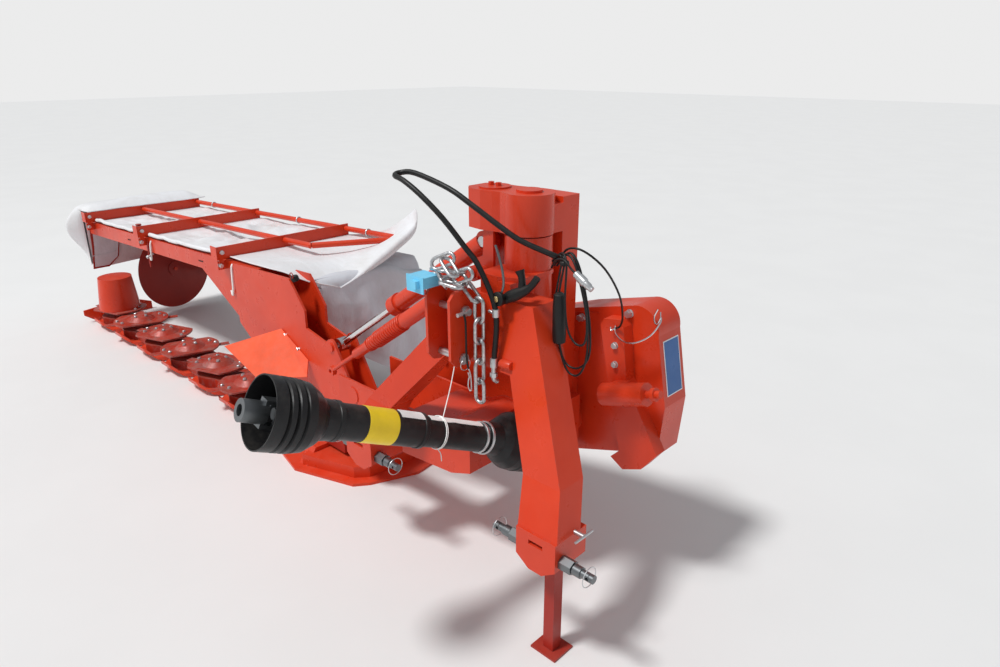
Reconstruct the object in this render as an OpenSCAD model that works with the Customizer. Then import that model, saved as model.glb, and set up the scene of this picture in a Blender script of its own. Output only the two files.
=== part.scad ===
// Mounted disc mower for a tractor's three-point hitch, parked on its stand.
// Millimetres, +Z up. The drawing is made round the hitch: X to the machine's
// right, where the cutter bar lies, and Y forward, to the tractor. The last
// lines move it so that the origin is under the middle of the machine.

/* [Hitch] */
// Distance between the lower hitch clevises, centre to centre
hitch_span = 950; // [800:10:1100]
// Height of the lower hitch pins when parked
hitch_z = 450; // [420:5:480]
// Diameter of the lower hitch pins' ends
hitch_pin_d = 28.7; // [22:0.1:36.6]
// Height of the hitch frame's top
frame_top_z = 1195; // [1160:5:1230]
// Fore-and-aft depth of the hitch frame's legs
leg_d = 120; // [110:2:130]
// Width of the legs below the knee
leg_w = 166; // [140:2:180]
// Diameter of the top link pins
top_pin_d = 25.4; // [19:0.1:31.8]
// Clear width between the top link plates
top_gap = 101; // [95:1:115]

/* [Tower and arm] */
// Diameter of the vertical break-away pin
pivot_d = 60; // [45:1:70]
// Radius of the break-away column
column_r = 85; // [75:1:95]
// Height of the tower's top
tower_top_z = 1530; // [1500:5:1560]
// Depth of the carrying arm's side plates
arm_plate_t = 12; // [8:1:16]
// Radius of the belt housing's upper corner
housing_r = 88; // [70:2:96]
// Diameter of the fold hinge pin
hinge_d = 50; // [36:1:60]

/* [Cutter bar] */
// Distance between disc centres
disc_pitch = 404; // [395:1:420]
// Number of discs
disc_count = 7; // [7:1:7]
// Long radius of a disc
disc_rx = 185; // [160:1:190]
// Short radius of a disc
disc_ry = 135; // [110:1:140]
// Radius that the knife tips sweep
knife_r = 248; // [230:1:250]
// Thickness of the cutter bar housing
bar_t = 62; // [50:1:70]
// Width of the cutter bar housing
bar_w = 250; // [220:5:270]
// Height of the outer disc's hat
hat_h = 245; // [200:5:260]

/* [Cover] */
// Length of the cover arms, from the beam backwards
cover_l = 850; // [760:10:880]
// Width of the cover arms' angle iron
cover_arm_h = 70; // [50:2:80]
// Diameter of the cover's cross tubes
cover_tube_d = 34; // [26:1:42]
// Diameter of the swath disc
swath_d = 640; // [560:10:680]

/* [Drive shaft] */
// Diameter of the drive shaft's outer guard tube
guard_d = 116; // [104:1:124]
// Wide diameter of the guard cones
cone_d = 222; // [200:2:230]
// Diameter of the splined bore in the tractor yoke
spline_d = 35; // [34:0.5:45]
// Distance between the two universal joints
shaft_l = 980; // [960:2:1020]

/* [Hidden] */
$fn = 48;
eps = 0.3;                              // running gap of faces that meet
body_red = "orangered";
dark_red = "firebrick";
steel = "silver";
black = "dimgray";
cloth = "whitesmoke";

half = hitch_span / 2;
leg_out = half + leg_w / 2;
leg_in = half - leg_w / 2;
leg_end_z = hitch_z + 75;
leg_y1 = 60;                            // front face of the legs at their lower ends
knee_z = hitch_z + 217;
knee_y = leg_y1 - 70;                    // front face at the knee
leg_lean = 0.25;                        // the legs lean back this much for each mm up
function leg_front(z) = knee_y - leg_lean * (z - knee_z);
head_x0 = -267;                         // the legs meet over the break-away column
head_x1 = 24;
head_z = 960;                           // lower edge of the head between the legs
fold_y = -152;                          // right leg's edge beside the folded spring
pin_y = 32;                             // lower pins lie in front of the stand
clevis_y1 = 68;
clevis_d = 160;

// Parking stand: a square tube that slides in the left leg
stand_w = 44;
stand_h = 560;
stand_y = -34;
stand_pitch = 100;                      // distance of its two pin holes
stand_gap = 0.5;

// Top link plates
plate_t = 12;
plate_y1 = 36;
plate_z0 = 966;
plate_z1 = 1238;
top_pin_y = plate_y1 - 56;
high_pin_y = plate_y1 - 66;
back_y = -62;                           // plate between the ears
low_top_z = 995;
high_top_z = 1165;

// Break-away pivot, column and tower
pv = [-90, -320];
column_z0 = 1000;
column_z1 = tower_top_z - 145;
tower_z0 = column_z1 + 5;
lug_t = 50;
lug_r = column_r - 10;
flange_z = 1250;                        // plate on the column over the head
mast_y1 = pv[1] - column_r - 8;
mast_y0 = mast_y1 - 90;

// Lift cylinder: tower pin and bracket pin, as [x, z]
mower_y = -300;                         // middle plane of arm, bracket and beam
lift_a = [90, tower_z0 - 55];
lift_b = [1090, 655];
lift_v = lift_b - lift_a;
lift_l = norm(lift_v);
lift_ang = atan2(lift_v[1], lift_v[0]);
// Balance spring, in front of the cylinder and a little lower
spring_a = [52, tower_z0 - 150];
spring_b = [1035, 563];
spring_v = spring_b - spring_a;
spring_l = norm(spring_v);
spring_ang = atan2(spring_v[1], spring_v[0]);
spring_dy = 105;
coil_from = 500;
coil_to = 790;
coil_pitch = 17;
sleeve_r = 24;                          // sleeve of the rod inside the coils

// Fold hinge, as [x, z]
hinge = [880, 305];
arm_y0 = mower_y - 152;
arm_y1 = mower_y + 157;
arm_top_z = 600;
arm_x0 = 42;                            // the front plate starts right of the cone
bracket_gap = 106;                      // the lift cylinder folds into this gap
bracket_t = 12;
goose_y1 = mower_y + bracket_gap / 2 + bracket_t;
goose_y0 = mower_y - bracket_gap / 2 - bracket_t;

// Belt housing behind the hitch frame
housing_y1 = -555;
housing_y0 = -700;
housing_d = housing_y1 - housing_y0;
housing_c = [-409, 1046];
housing_low_r = 150;
post_t = 55;                            // post that stands on its front panel
tube_y = -452;                          // release tube in front of the post
input_x = -115;
input_z = 600;

// Cutter bar
bar_y = -290;
bar_z0 = 36;
disc_x1 = 4105;                         // outermost disc
disc_z = 140;
function disc_x(i) = disc_x1 - i * disc_pitch;
bar_x0 = disc_x(disc_count - 1) - 420;
bar_x1 = disc_x1 + 110;

// Beam over the cutter bar
beam_y0 = mower_y - bracket_gap / 2 - 1;
beam_y1 = mower_y + bracket_gap / 2 + 1;
beam_x1 = 4300;
beam_x0 = 1420;
beam_in = 1740;                         // the closed box starts here
beam_z1 = 800;
beam_z0 = 932;
beam_h = 92;
beam_slope = atan((beam_z0 - beam_z1) / (beam_x1 - beam_x0));
function beam_top(x) = beam_z1 + (beam_x1 - x) / (beam_x1 - beam_x0) * (beam_z0 - beam_z1);

// Cover
cover_arm_x = [4170, 3190, 2080];
cover_arm_t = 8;
hinge_y = beam_y1 + 34;
hinge_drop = 18;                        // cover hinge below the beam's top
rear_y = hinge_y - cover_l;
mid_y = hinge_y - 400;
roof_drop = 46;                         // rear canvas below the beam's top

// Swath disc behind the outer end
swath_c = [4180, -782, 345];

// Drive shaft: inner joint, yaw and pitch of the shaft as it is parked
joint_a = [input_x, -250, input_z];
shaft_yaw = -8.6;
shaft_pitch = 23.9;
fork_base = 44;                         // joint's centre to the fork's base
fork_l = 169.7;
cross_r = 11;
guard_lap = shaft_l - 310;              // end of the inner guard tube, inside the outer
yoke_bore_z = fork_base + 2;

// Where the finished machine's middle lies in the hitch frame
outer_x = disc_x1 + knife_r + 20;
yoke_end = 118;
yoke_r = 34;
pin_end = 127;
shaft_c = cos(shaft_yaw) * cos(shaft_pitch);
front_y = joint_a[1] + shaft_c * (shaft_l + yoke_end) + yoke_r * sqrt(1 - shaft_c * shaft_c);
skirt_y = rear_y - 46;
origin = [(outer_x - leg_out - pin_end) / 2, (front_y + skirt_y) / 2, 0];

// A cylinder from point p to point q
module rod(p, q, r) {
    v = q - p;
    l = norm(v);
    translate(p) rotate([0, acos(v[2] / l), atan2(v[1], v[0])])
        cylinder(r = r, h = l);
}

// A plate cut in the X-Z plane, from y back to y - t
module xz(y, t) { translate([0, y, 0]) rotate([90, 0, 0]) linear_extrude(t) children(); }

// A plate cut in the Y-Z plane, from x out to x + t
module yz(x, t) { translate([x, 0, 0]) rotate([90, 0, 90]) linear_extrude(t) children(); }

// A round-ended strap in the plane, between two points
module strap(a, b, ra, rb) {
    v = b - a;
    l = norm(v);
    s = (ra - rb) / l;
    c = sqrt(1 - s * s);
    u = v / l;
    n = [-u[1], u[0]];
    translate(a) circle(ra);
    translate(b) circle(rb);
    // the sides lie a little inside the tangents, so that they cut the circles cleanly
    pa = ra - eps;
    pb = rb - eps;
    polygon([a + pa * (s * u + c * n), b + pb * (s * u + c * n),
        b + pb * (s * u - c * n), a + pa * (s * u - c * n)]);
}

// Hitch frame

module leg_outline() {
    knee_out = leg_out - 68;
    knee_in = leg_in - 42;
    polygon([[head_x0, frame_top_z], [head_x1, frame_top_z],
        [knee_out, knee_z], [leg_out, leg_end_z], [leg_in, leg_end_z],
        [knee_in, knee_z], [head_x1 + 59, head_z], [head_x0 + 46, head_z],
        [-knee_in, knee_z], [-leg_in, leg_end_z], [-leg_out, leg_end_z],
        [-leg_out + 50, knee_z]]);
}

// Seen from the side, the legs lean back from the knee up
module leg_profile() {
    top = frame_top_z;
    polygon([[leg_y1, leg_end_z], [knee_y, knee_z], [leg_front(top), top],
        [leg_front(top) - leg_d, top], [knee_y - leg_d, knee_z],
        [leg_y1 - leg_d, leg_end_z]]);
}

module clevis_outline() {
    polygon([[-leg_w / 2, 76], [leg_w / 2, 76], [leg_w / 2, -28],
        [28, -66], [-28, -66], [-leg_w / 2, -28]]);
}

module hitch_frame() {
    channel = stand_w / 2 + stand_gap;
    wide = 2 * leg_out + 20;
    color(body_red) difference() {
        union() {
            intersection() {
                xz(leg_y1 + 10, 400) leg_outline();
                yz(-wide / 2, wide) leg_profile();
            }
            for (s = [-1, 1]) translate([s * half, 0, hitch_z])
                xz(clevis_y1, clevis_d) clevis_outline();
            // block and column of the break-away pivot
            translate([pv[0] - 70, pv[1], 1060]) cube([140, -150 - pv[1], flange_z - 1060]);
            translate([pv[0], pv[1], column_z0])
                cylinder(r = column_r, h = column_z1 - column_z0);
            translate([0, 0, flange_z]) linear_extrude(16)
                polygon([[pv[0] - 90, pv[1]], [pv[0] - 90, -190], [-100, -150],
                    [-4, -150], [-4, pv[1]]]);
            translate([pv[0], pv[1], flange_z]) cylinder(r = column_r + 5, h = 16);
        }
        // lower pin bores
        for (s = [-1, 1]) translate([s * half - leg_w, pin_y, hitch_z]) rotate([0, 90, 0])
            cylinder(d = 36.6, h = 2 * leg_w);
        // windows above the pins
        for (s = [-1, 1]) translate([s * half - 30, 20, hitch_z + 32]) cube([60, 60, 16]);
        // channel of the parking stand
        translate([-half - channel, stand_y - channel, hitch_z - 80])
            cube([2 * channel, 2 * channel, stand_h + stand_pitch + 5 - hitch_z + 80]);
        // pin hole of the stand
        translate([-leg_out - 5, stand_y, stand_h - 32]) rotate([0, 90, 0])
            cylinder(d = 16.6, h = leg_w + 10);
        // bore of the break-away pin
        translate([pv[0], pv[1], column_z0 - 5])
            cylinder(d = pivot_d + 0.8, h = column_z1 - column_z0 + 10);
        // the folded balance spring passes behind the right leg
        translate([50, fold_y - 300, leg_end_z]) cube([leg_out, 300, frame_top_z]);
    }
}

// One lower hitch pin: shank in the clevis, hexagon sleeves and two tips
module hitch_pin(s) {
    color(steel) translate([s * half, pin_y, hitch_z]) rotate([0, 90, 0]) difference() {
        union() {
            translate([0, 0, -leg_w / 2 - 1]) cylinder(d = 36, h = leg_w + 2);
            for (e = [0, 1]) mirror([0, 0, e]) {
                translate([0, 0, leg_w / 2 + 0.3]) cylinder(d = 50, h = 48, $fn = 6);
                translate([0, 0, leg_w / 2 + 47]) cylinder(d = hitch_pin_d, h = pin_end - 47);
            }
        }
        for (e = [-1, 1]) translate([0, 0, e * (leg_w / 2 + 108)]) rotate([90, 0, 0])
            cylinder(d = 12, h = 60, center = true);
    }
}
module lower_pin_left() hitch_pin(-1);
module lower_pin_right() hitch_pin(1);

// The two ears that take the tractor's top link
module top_link_plates() {
    color(body_red) difference() {
        union() {
            for (s = [-1, 1]) yz(s * (top_gap + plate_t) / 2 - plate_t / 2, plate_t)
                polygon([[plate_y1, 1000], [plate_y1, plate_z1 - 26],
                    [plate_y1 - 24, plate_z1], [-60, plate_z1],
                    [leg_front(1150) + eps, 1150], [leg_front(1010) + eps, 1010],
                    [-60, 985], [top_pin_y, plate_z0], [plate_y1 - 24, 972]]);
            // plate between the ears
            translate([-top_gap / 2 - 1, back_y, 1010]) cube([top_gap + 2, 10, 205]);
        }
        for (p = [[top_pin_y, low_top_z], [high_pin_y, high_top_z]])
            translate([-200, p[0], p[1]]) rotate([0, 90, 0]) cylinder(d = top_pin_d + 0.8, h = 400);
    }
}

module top_link_pins() {
    w = top_gap / 2 + plate_t;
    color(steel) {
        // lower pin with a washer head and a collar
        translate([-w - 14, top_pin_y, low_top_z]) rotate([0, 90, 0])
            cylinder(d = top_pin_d, h = 2 * w + 28);
        for (s = [-1, 1]) translate([s * (w + 4.5), top_pin_y, low_top_z]) rotate([0, 90, 0])
            cylinder(d = 40, h = 8, center = true);
        // upper pin with a collar and its cross handle
        translate([-w - 24, high_pin_y, high_top_z]) rotate([0, 90, 0])
            cylinder(d = top_pin_d, h = 2 * w + 38);
        translate([-w - 4.5, high_pin_y, high_top_z]) rotate([0, 90, 0])
            cylinder(d = 38, h = 8, center = true);
        translate([-w - 18, high_pin_y - 6, high_top_z]) rotate([-90, 0, 0]) cylinder(d = 14, h = 56);
    }
}

// Chain that ties the top link: hangs beside the left ear, lies over both ears
// and hangs down again. Columns: elevation of the link, turn about its length.
chain_links = [[90, 90], [90, 0], [90, 90], [90, 0], [90, 90], [40, 0],
    [0, 90], [-14, 0], [-70, 90], [-90, 0], [-90, 90]];
chain_start = [-117, -45, 859];
chain_d = 13;
chain_w = 52;
chain_l = 100;
chain_side = (chain_l - chain_w) / 2;
chain_reach = chain_l / 2 + chain_w / 2 - 2 * chain_d - 0.6;

// From a link's middle to its joint: a turned link holds the next one's end
function chain_half(i) = chain_links[i][1] == 0 ? chain_reach : chain_side;
function chain_dir(i) = [cos(chain_links[i][0]), 0, sin(chain_links[i][0])];
function chain_pos(i) = i == 0 ? chain_start + chain_half(0) * chain_dir(0)
    : chain_pos(i - 1) + chain_half(i - 1) * chain_dir(i - 1) + chain_half(i) * chain_dir(i);

module chain_link() {
    bend = (chain_w - chain_d) / 2;
    for (e = [0, 1]) mirror([e, 0, 0]) translate([chain_side, 0, 0]) rotate([0, 0, -90])
        rotate_extrude(angle = 180, $fn = 32) translate([bend, 0]) circle(d = chain_d, $fn = 16);
    for (s = [-1, 1]) translate([-chain_side, s * bend, 0]) rotate([0, 90, 0])
        cylinder(d = chain_d, h = 2 * chain_side, $fn = 16);
}

module tie_chain() {
    color(steel) for (i = [0:len(chain_links) - 1]) translate(chain_pos(i))
        rotate([0, -chain_links[i][0], 0]) rotate([chain_links[i][1], 0, 0]) chain_link();
}

module parking_stand() {
    color(dark_red) difference() {
        union() {
            translate([-half - stand_w / 2, stand_y - stand_w / 2, 4])
                cube([stand_w, stand_w, stand_h - 4]);
            translate([-half - 55, stand_y - 50, 0]) cube([110, 100, 8]);
        }
        for (z = [stand_h - 32, stand_h - 32 - stand_pitch]) translate([-half, stand_y, z])
            rotate([0, 90, 0]) cylinder(d = 18, h = 80, center = true);
    }
}

module stand_pin() {
    color(steel) {
        translate([-leg_out - 34, stand_y, stand_h - 32]) rotate([0, 90, 0])
            cylinder(d = 16, h = leg_out + 34 - half - stand_w / 2 - 0.5);
        translate([-leg_out - 34, stand_y, stand_h - 32]) rotate([90, 0, 0])
            cylinder(d = 9, h = 90, center = true);
    }
}

// Tower: the bent box over the column, with cheeks for cylinder and springs

module tower_plan() {
    translate(pv) circle(r = column_r + 4);
    polygon([[pv[0], pv[1] - column_r - 4], [pv[0], pv[1] + column_r + 4],
        [pv[0] + 70, pv[1] + 74], [10, mower_y + 62], [60, mower_y + 70],
        [125, mower_y + 62], [152, mower_y + 34], [152, mower_y - 54],
        [112, mower_y - 84], [20, mower_y - 84]]);
}

module swivel_tower() {
    cheek_y = 50;
    color(body_red) difference() {
        union() {
            translate([0, 0, tower_z0]) linear_extrude(tower_top_z - tower_z0) tower_plan();
            // cover plate with two bolts, and the cap over the pivot
            translate([62, mower_y - 8, tower_top_z]) cylinder(r = 58, h = 6);
            translate([pv[0], pv[1], tower_top_z]) cylinder(r = 46, h = 9);
            for (dx = [-18, 18]) translate([62 + dx, mower_y - 8, tower_top_z])
                cylinder(d = 22, h = 18, $fn = 6);
            // rear cheek for the cylinder's pin and front cheek for the spring's
            xz(mower_y - cheek_y + 6, 12)
                polygon([[10, tower_z0 + 5], [10, 1240], [40, 1215], [105, 1215],
                    [135, 1270], [135, tower_z0 + 5]]);
            translate([lift_a[0], mower_y - cheek_y - 6, lift_a[1]]) rotate([90, 0, 0])
                cylinder(r = 30, h = 9);
            xz(mower_y + cheek_y + 6, 12) translate(spring_a)
                polygon([[-42, 155], [-42, -18], [-22, -32], [28, -32], [56, 0],
                    [52, 35], [10, 52], [6, 155]]);
            translate([spring_a[0], mower_y + cheek_y + 6, spring_a[1]]) rotate([-90, 0, 0])
                cylinder(r = 17, h = 84);
            // mast behind the column, with the lug under it
            translate([pv[0] - 75, mast_y0, 470])
                cube([150, mast_y1 - mast_y0, tower_top_z - 20 - 470]);
            translate([pv[0] - 115, mast_y0, 470])
                cube([80, mast_y1 - mast_y0, 270]);
            translate([pv[0] - 75, mast_y0 + 10, column_z0 - 5 - lug_t])
                cube([150, pv[1] - mast_y0 - 10, lug_t]);
            translate([pv[0], pv[1], column_z0 - 5 - lug_t]) cylinder(r = lug_r, h = lug_t);
            translate([pv[0] - 75, mast_y0, tower_z0])
                cube([150, pv[1] - mast_y0, 100]);
        }
        // seat of the break-away pin
        translate([pv[0], pv[1], 900])
            cylinder(d = pivot_d + 0.6, h = tower_top_z - 30 - 900);
        // seat of the input bearing
        translate([input_x, 0, input_z]) rotate([90, 0, 0]) cylinder(r = 66 + eps, h = 900);
        // bore of the lift pin
        translate([lift_a[0], mower_y, lift_a[1]]) rotate([90, 0, 0]) cylinder(d = 31, h = 90);
    }
}

module pivot_pin() {
    color(steel) translate([pv[0], pv[1], column_z0 - 5 - lug_t - 12]) {
        cylinder(d = pivot_d, h = tower_top_z - 40 - (column_z0 - 5 - lug_t - 12));
        cylinder(d = pivot_d + 30, h = 11.7);
    }
}

// Arm: two side plates from the mast to the fold hinge

module arm_outline(x0) {
    polygon([[x0, 440], [x0, 640], [150, 640], [230, arm_top_z],
        [905, arm_top_z], [905, 470], [950, 330], [940, 270], [hinge[0], 240],
        [825, 262], [790, 345], [640, 375], [430, 375], [150, 400]]);
}

module carrying_arm() {
    color(body_red) difference() {
        union() {
            xz(arm_y1, arm_plate_t) arm_outline(arm_x0);
            xz(arm_y0 + arm_plate_t, arm_plate_t) arm_outline(pv[0] + 75 + eps);
            // closed box between the plates, short of the fold bracket's path
            xz(arm_y1 - 1, arm_y1 - arm_y0 - 2) polygon([[arm_x0, 440], [arm_x0, 630],
                [140, 630], [220, arm_top_z - 10], [400, arm_top_z - 10], [400, 385],
                [150, 410]]);
            // boss rings on the front plate
            for (x = [560, 800]) translate([x, arm_y1 + 4, 530]) rotate([90, 0, 0])
                cylinder(r = 40, h = 8);
            // shoulder against the mast's side
            translate([pv[0] + 75 + eps, mast_y0, 480])
                cube([arm_x0 - pv[0] - 74, mast_y1 - mast_y0, 140]);
        }
        translate([hinge[0], 0, hinge[1]]) rotate([90, 0, 0]) cylinder(d = hinge_d + 0.6, h = 900);
    }
}

module hinge_pin() {
    color(steel) translate([hinge[0], arm_y1 + 12 + eps, hinge[1]]) rotate([90, 0, 0]) {
        cylinder(d = hinge_d, h = arm_y1 - arm_y0 + 32);
        cylinder(d = hinge_d + 22, h = 12);
    }
}

// Belt housing: a rounded shoulder by the mast and a round lobe at the hinge
module housing_outline() {
    k = housing_low_r - eps;
    translate(hinge) circle(housing_low_r);
    translate(housing_c) circle(housing_r);
    polygon([housing_c - [housing_r - eps, 5], [-540, 808], [-546, 777], [-535, 641],
        [-529, 573], [-363, 531], [-153, 461], hinge + k * [-0.31, -0.95],
        hinge + k * [0.69, 0.724], [120, 978], [-132, 1064],
        housing_c + (housing_r - eps) * [0.24, 0.97]]);
}

module belt_housing() {
    color(body_red) {
        xz(housing_y1, housing_d) housing_outline();
        // post on the front panel
        xz(housing_y1 + post_t, post_t + 1) polygon([[-285, 1050], [-300, 1075],
            [-368, 1085], [-385, 1060], [-410, 860], [-560, 610], [-500, 530],
            [-420, 497], [-363, 531], [-399, 568], [-340, 800]]);
        // bracket to the mast
        translate([pv[0] - 60, housing_y1 - 1, 690])
            cube([120, mast_y0 - housing_y1 + 1 - eps, 230]);
    }
}

// Bearing housing of the input shaft
module input_bearing() {
    color(dark_red) difference() {
        union() {
            translate([input_x, -346, input_z]) rotate([90, 0, 0])
                cylinder(r = 66, h = -346 - housing_y1 - eps);
            translate([input_x, -352, input_z]) rotate([90, 0, 0]) cylinder(r = 86, h = 18);
        }
        translate([input_x, -300, input_z]) rotate([90, 0, 0]) cylinder(r = 22, h = 300);
    }
}

// Spring tube that releases the arm when the bar hits something
module release_strut() {
    a = [-350, tube_y, 806];
    b = [-530, tube_y, 863];
    color(body_red) {
        rod(a, b, 42);
        rod(b - (b - a) * 0.05, b + (b - a) * 0.3, 14);
        rod(b + (b - a) * 0.12, b + (b - a) * 0.2, 24);
        // saddle on the post
        xz(tube_y - 10, tube_y - 10 - housing_y1 - post_t - eps)
            polygon([[-430, 775], [-365, 765], [-365, 850], [-430, 870]]);
    }
}

// Lift cylinder and balance spring

module lift_pin() {
    color(steel) translate([lift_a[0], mower_y + 25 + eps, lift_a[1]]) rotate([90, 0, 0]) {
        cylinder(d = 30.4, h = 100);
        translate([0, 0, -8]) cylinder(d = 39, h = 8);
    }
}

module lift_barrel() {
    color(body_red) translate([lift_a[0], mower_y, lift_a[1]]) rotate([0, -lift_ang, 0])
        difference() {
            union() {
                rotate([90, 0, 0]) cylinder(r = 38, h = 50, center = true);
                translate([20, 0, 0]) rotate([0, 90, 0]) cylinder(r = 38, h = 640);
                translate([640, 0, 0]) rotate([0, 90, 0]) cylinder(r = 46, h = 50);
            }
            rotate([90, 0, 0]) cylinder(d = 31, h = 60, center = true);
            translate([150, 0, 0]) rotate([0, 90, 0]) cylinder(d = 36, h = 600);
        }
}

module lift_rod() {
    color(steel) translate([lift_a[0], mower_y, lift_a[1]]) rotate([0, -lift_ang, 0])
        difference() {
            union() {
                translate([520, 0, 0]) rotate([0, 90, 0]) cylinder(d = 35, h = lift_l - 545);
                translate([lift_l, 0, 0]) rotate([90, 0, 0]) cylinder(r = 34, h = 50, center = true);
            }
            translate([lift_l, 0, 0]) rotate([90, 0, 0]) cylinder(d = 30, h = 60, center = true);
        }
}

module spring_frame() {
    translate([spring_a[0], mower_y + spring_dy, spring_a[1]])
        rotate([0, -spring_ang, 0]) children();
}

module spring_coil() {
    color(body_red) spring_frame() difference() {
        union() {
            rotate([90, 0, 0]) cylinder(r = 28, h = 30, center = true);
            rotate([0, 90, 0]) {
                translate([0, 0, 15]) cylinder(r = 16, h = 90);
                translate([0, 0, 95]) cylinder(r = 32, h = coil_from - 95);
                // coils on their core, seen from outside
                translate([0, 0, coil_from - 5]) cylinder(r = 28, h = coil_to - coil_from + 6);
                for (z = [coil_from + 9:coil_pitch:coil_to - 6]) translate([0, 0, z])
                    rotate_extrude($fn = 36) translate([27, 0]) circle(r = 5, $fn = 16);
                translate([0, 0, coil_to]) cylinder(r1 = 32, r2 = 28, h = 25);
            }
        }
        rotate([90, 0, 0]) cylinder(d = 35, h = 60, center = true);
        translate([430, 0, 0]) rotate([0, 90, 0]) cylinder(r = sleeve_r + eps, h = 500);
    }
}

module spring_rod() {
    color(dark_red) spring_frame() difference() {
        union() {
            translate([700, 0, 0]) rotate([0, 90, 0]) cylinder(r = sleeve_r, h = 235);
            translate([930, 0, 0]) rotate([0, 90, 0]) cylinder(r = 11, h = spring_l - 945);
            translate([spring_l, 0, 0]) rotate([90, 0, 0]) cylinder(r = 24, h = 22, center = true);
        }
        translate([spring_l, 0, 0]) rotate([90, 0, 0]) cylinder(d = 22, h = 60, center = true);
    }
}

// Cutter bar

module cutter_bar() {
    color(dark_red) translate([0, 0, bar_z0]) linear_extrude(bar_t) {
        translate([bar_x0, bar_y - bar_w / 2]) square([bar_x1 - bar_x0, bar_w - 40]);
        for (i = [0:disc_count - 1]) translate([disc_x(i), bar_y]) circle(r = bar_w / 2 + 8);
    }
}

// Wear skids: a sole under each disc with its nose turned up in front
module skid_shoes() {
    sole_w = disc_pitch - 24;
    color(body_red) for (i = [0:disc_count - 1]) translate([disc_x(i), 0, 0]) intersection() {
        yz(-sole_w / 2, sole_w)
            polygon([[bar_y - bar_w / 2 - 20, bar_z0 - eps], [bar_y - bar_w / 2 - 20, 12],
                [bar_y - bar_w / 2 + 10, 0], [bar_y + 60, 0], [bar_y + 125, 16],
                [bar_y + 175, 58], [bar_y + 182, 86], [bar_y + 175, 88],
                [bar_y + 150, 62], [bar_y + bar_w / 2 + 12, bar_z0 - eps - 4],
                [bar_y + 60, bar_z0 - eps]]);
        // noses are rounded in plan
        translate([0, 0, -1]) linear_extrude(100) {
            translate([-sole_w / 2, bar_y - bar_w / 2 - 30]) square([sole_w, bar_w / 2 + 30]);
            translate([0, bar_y - 1]) intersection() {
                circle(r = sole_w / 2 + 1, $fn = 96);
                translate([-sole_w / 2, -10]) square([sole_w, 300]);
            }
        }
    }
}

// Discs: an oval body, a domed hub and two knives
module disc(i) {
    turn = i % 2 == 0 ? 20 : 70;
    color(dark_red) translate([disc_x(i), bar_y, 0]) rotate([0, 0, turn]) {
        translate([0, 0, bar_z0 + bar_t + eps])
            cylinder(r = 55, h = disc_z - bar_z0 - bar_t);
        difference() {
            translate([0, 0, disc_z]) union() {
                linear_extrude(10) intersection() {
                    circle(r = disc_rx);
                    square([2 * disc_rx, 2 * disc_ry], center = true);
                }
                cylinder(r1 = 110, r2 = 62, h = 34);
                translate([0, 0, 34]) cylinder(r1 = 62, r2 = 30, h = 12);
            }
        }
        for (s = [-1, 1]) {
            translate([s * (disc_rx - 24), 0, disc_z - 6]) cylinder(r = 16, h = 6.5);
            translate([s > 0 ? disc_rx - 44 : -knife_r, -24, disc_z - 10])
                cube([knife_r - disc_rx + 44, 48, 4.2]);
        }
    }
}
module disc_1() disc(0);
module disc_2() disc(1);
module disc_3() disc(2);
module disc_4() disc(3);
module disc_5() disc(4);
module disc_6() disc(5);
module disc_7() disc(6);

module outer_hat() {
    color(body_red) translate([disc_x(0), bar_y, disc_z + 10.3]) difference() {
        cylinder(r1 = 145, r2 = 118, h = hat_h);
        translate([0, 0, -1]) cylinder(r1 = 140, r2 = 112, h = hat_h - 8);
    }
}

// Inner end

module inner_shoe() {
    color(body_red) difference() {
        linear_extrude(14) polygon([[1430, -90], [1225, -45], [887, -160], [836, -227],
            [744, -455], [790, -740], [1250, -740], [1250, -520], [1430, -420]]);
    }
    color(body_red) {
        // raised deck and front board
        translate([0, 0, 13.5]) linear_extrude(60) polygon([[1240, -150], [1225, -95],
            [930, -200], [880, -260], [860, -500], [900, -640], [1200, -640],
            [1200, -180]]);
        yz(1195, bar_x0 - 1195 - eps) polygon([[-640, 13.5], [-640, 60], [-420, 96], [-160, 96], [-100, 13.5]]);
    }
}

module bar_gearbox() {
    color(dark_red) {
        translate([1040, -520, 96 + eps]) cube([190, 290, 98]);
        translate([1135, -450, 190]) cylinder(r = 80, h = 60);
    }
}

module hinge_bracket() {
    r = 46;
    color(body_red) difference() {
        union() {
            for (s = [-1, 1]) xz(mower_y + s * (bracket_gap + bracket_t) / 2 + bracket_t / 2, bracket_t) {
                strap(hinge, lift_b, r, 40);
                strap(hinge, [1180, 262], r, 50);
                polygon([lift_b + [-20, 0], [1300, 700], [1300, 240], [1180, 215], hinge]);
            }
            // bushing round the hinge pin and bosses of the upper pin
            translate([hinge[0], mower_y, hinge[1]]) rotate([90, 0, 0])
                cylinder(r = 44, h = 2 * (mower_y - arm_y0 - arm_plate_t) - 6, center = true);
            for (s = [-1, 1]) translate([lift_b[0], mower_y + s * (bracket_gap / 2 + bracket_t), lift_b[1]])
                rotate([s * -90, 0, 0]) cylinder(d = 44, h = 8);
            // web that ties the plates, on the gooseneck's side
            translate([1200, mower_y - bracket_gap / 2 - 1, 230]) cube([30, bracket_gap + 2, 380]);
        }
        translate([hinge[0], 0, hinge[1]]) rotate([90, 0, 0]) cylinder(d = hinge_d + 0.6, h = 900);
        // relief for the lift eye and the spring eyes
        translate([lift_b[0], mower_y, lift_b[1]]) rotate([90, 0, 0])
            cylinder(r = 60, h = bracket_gap, center = true);
    }
}

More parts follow.
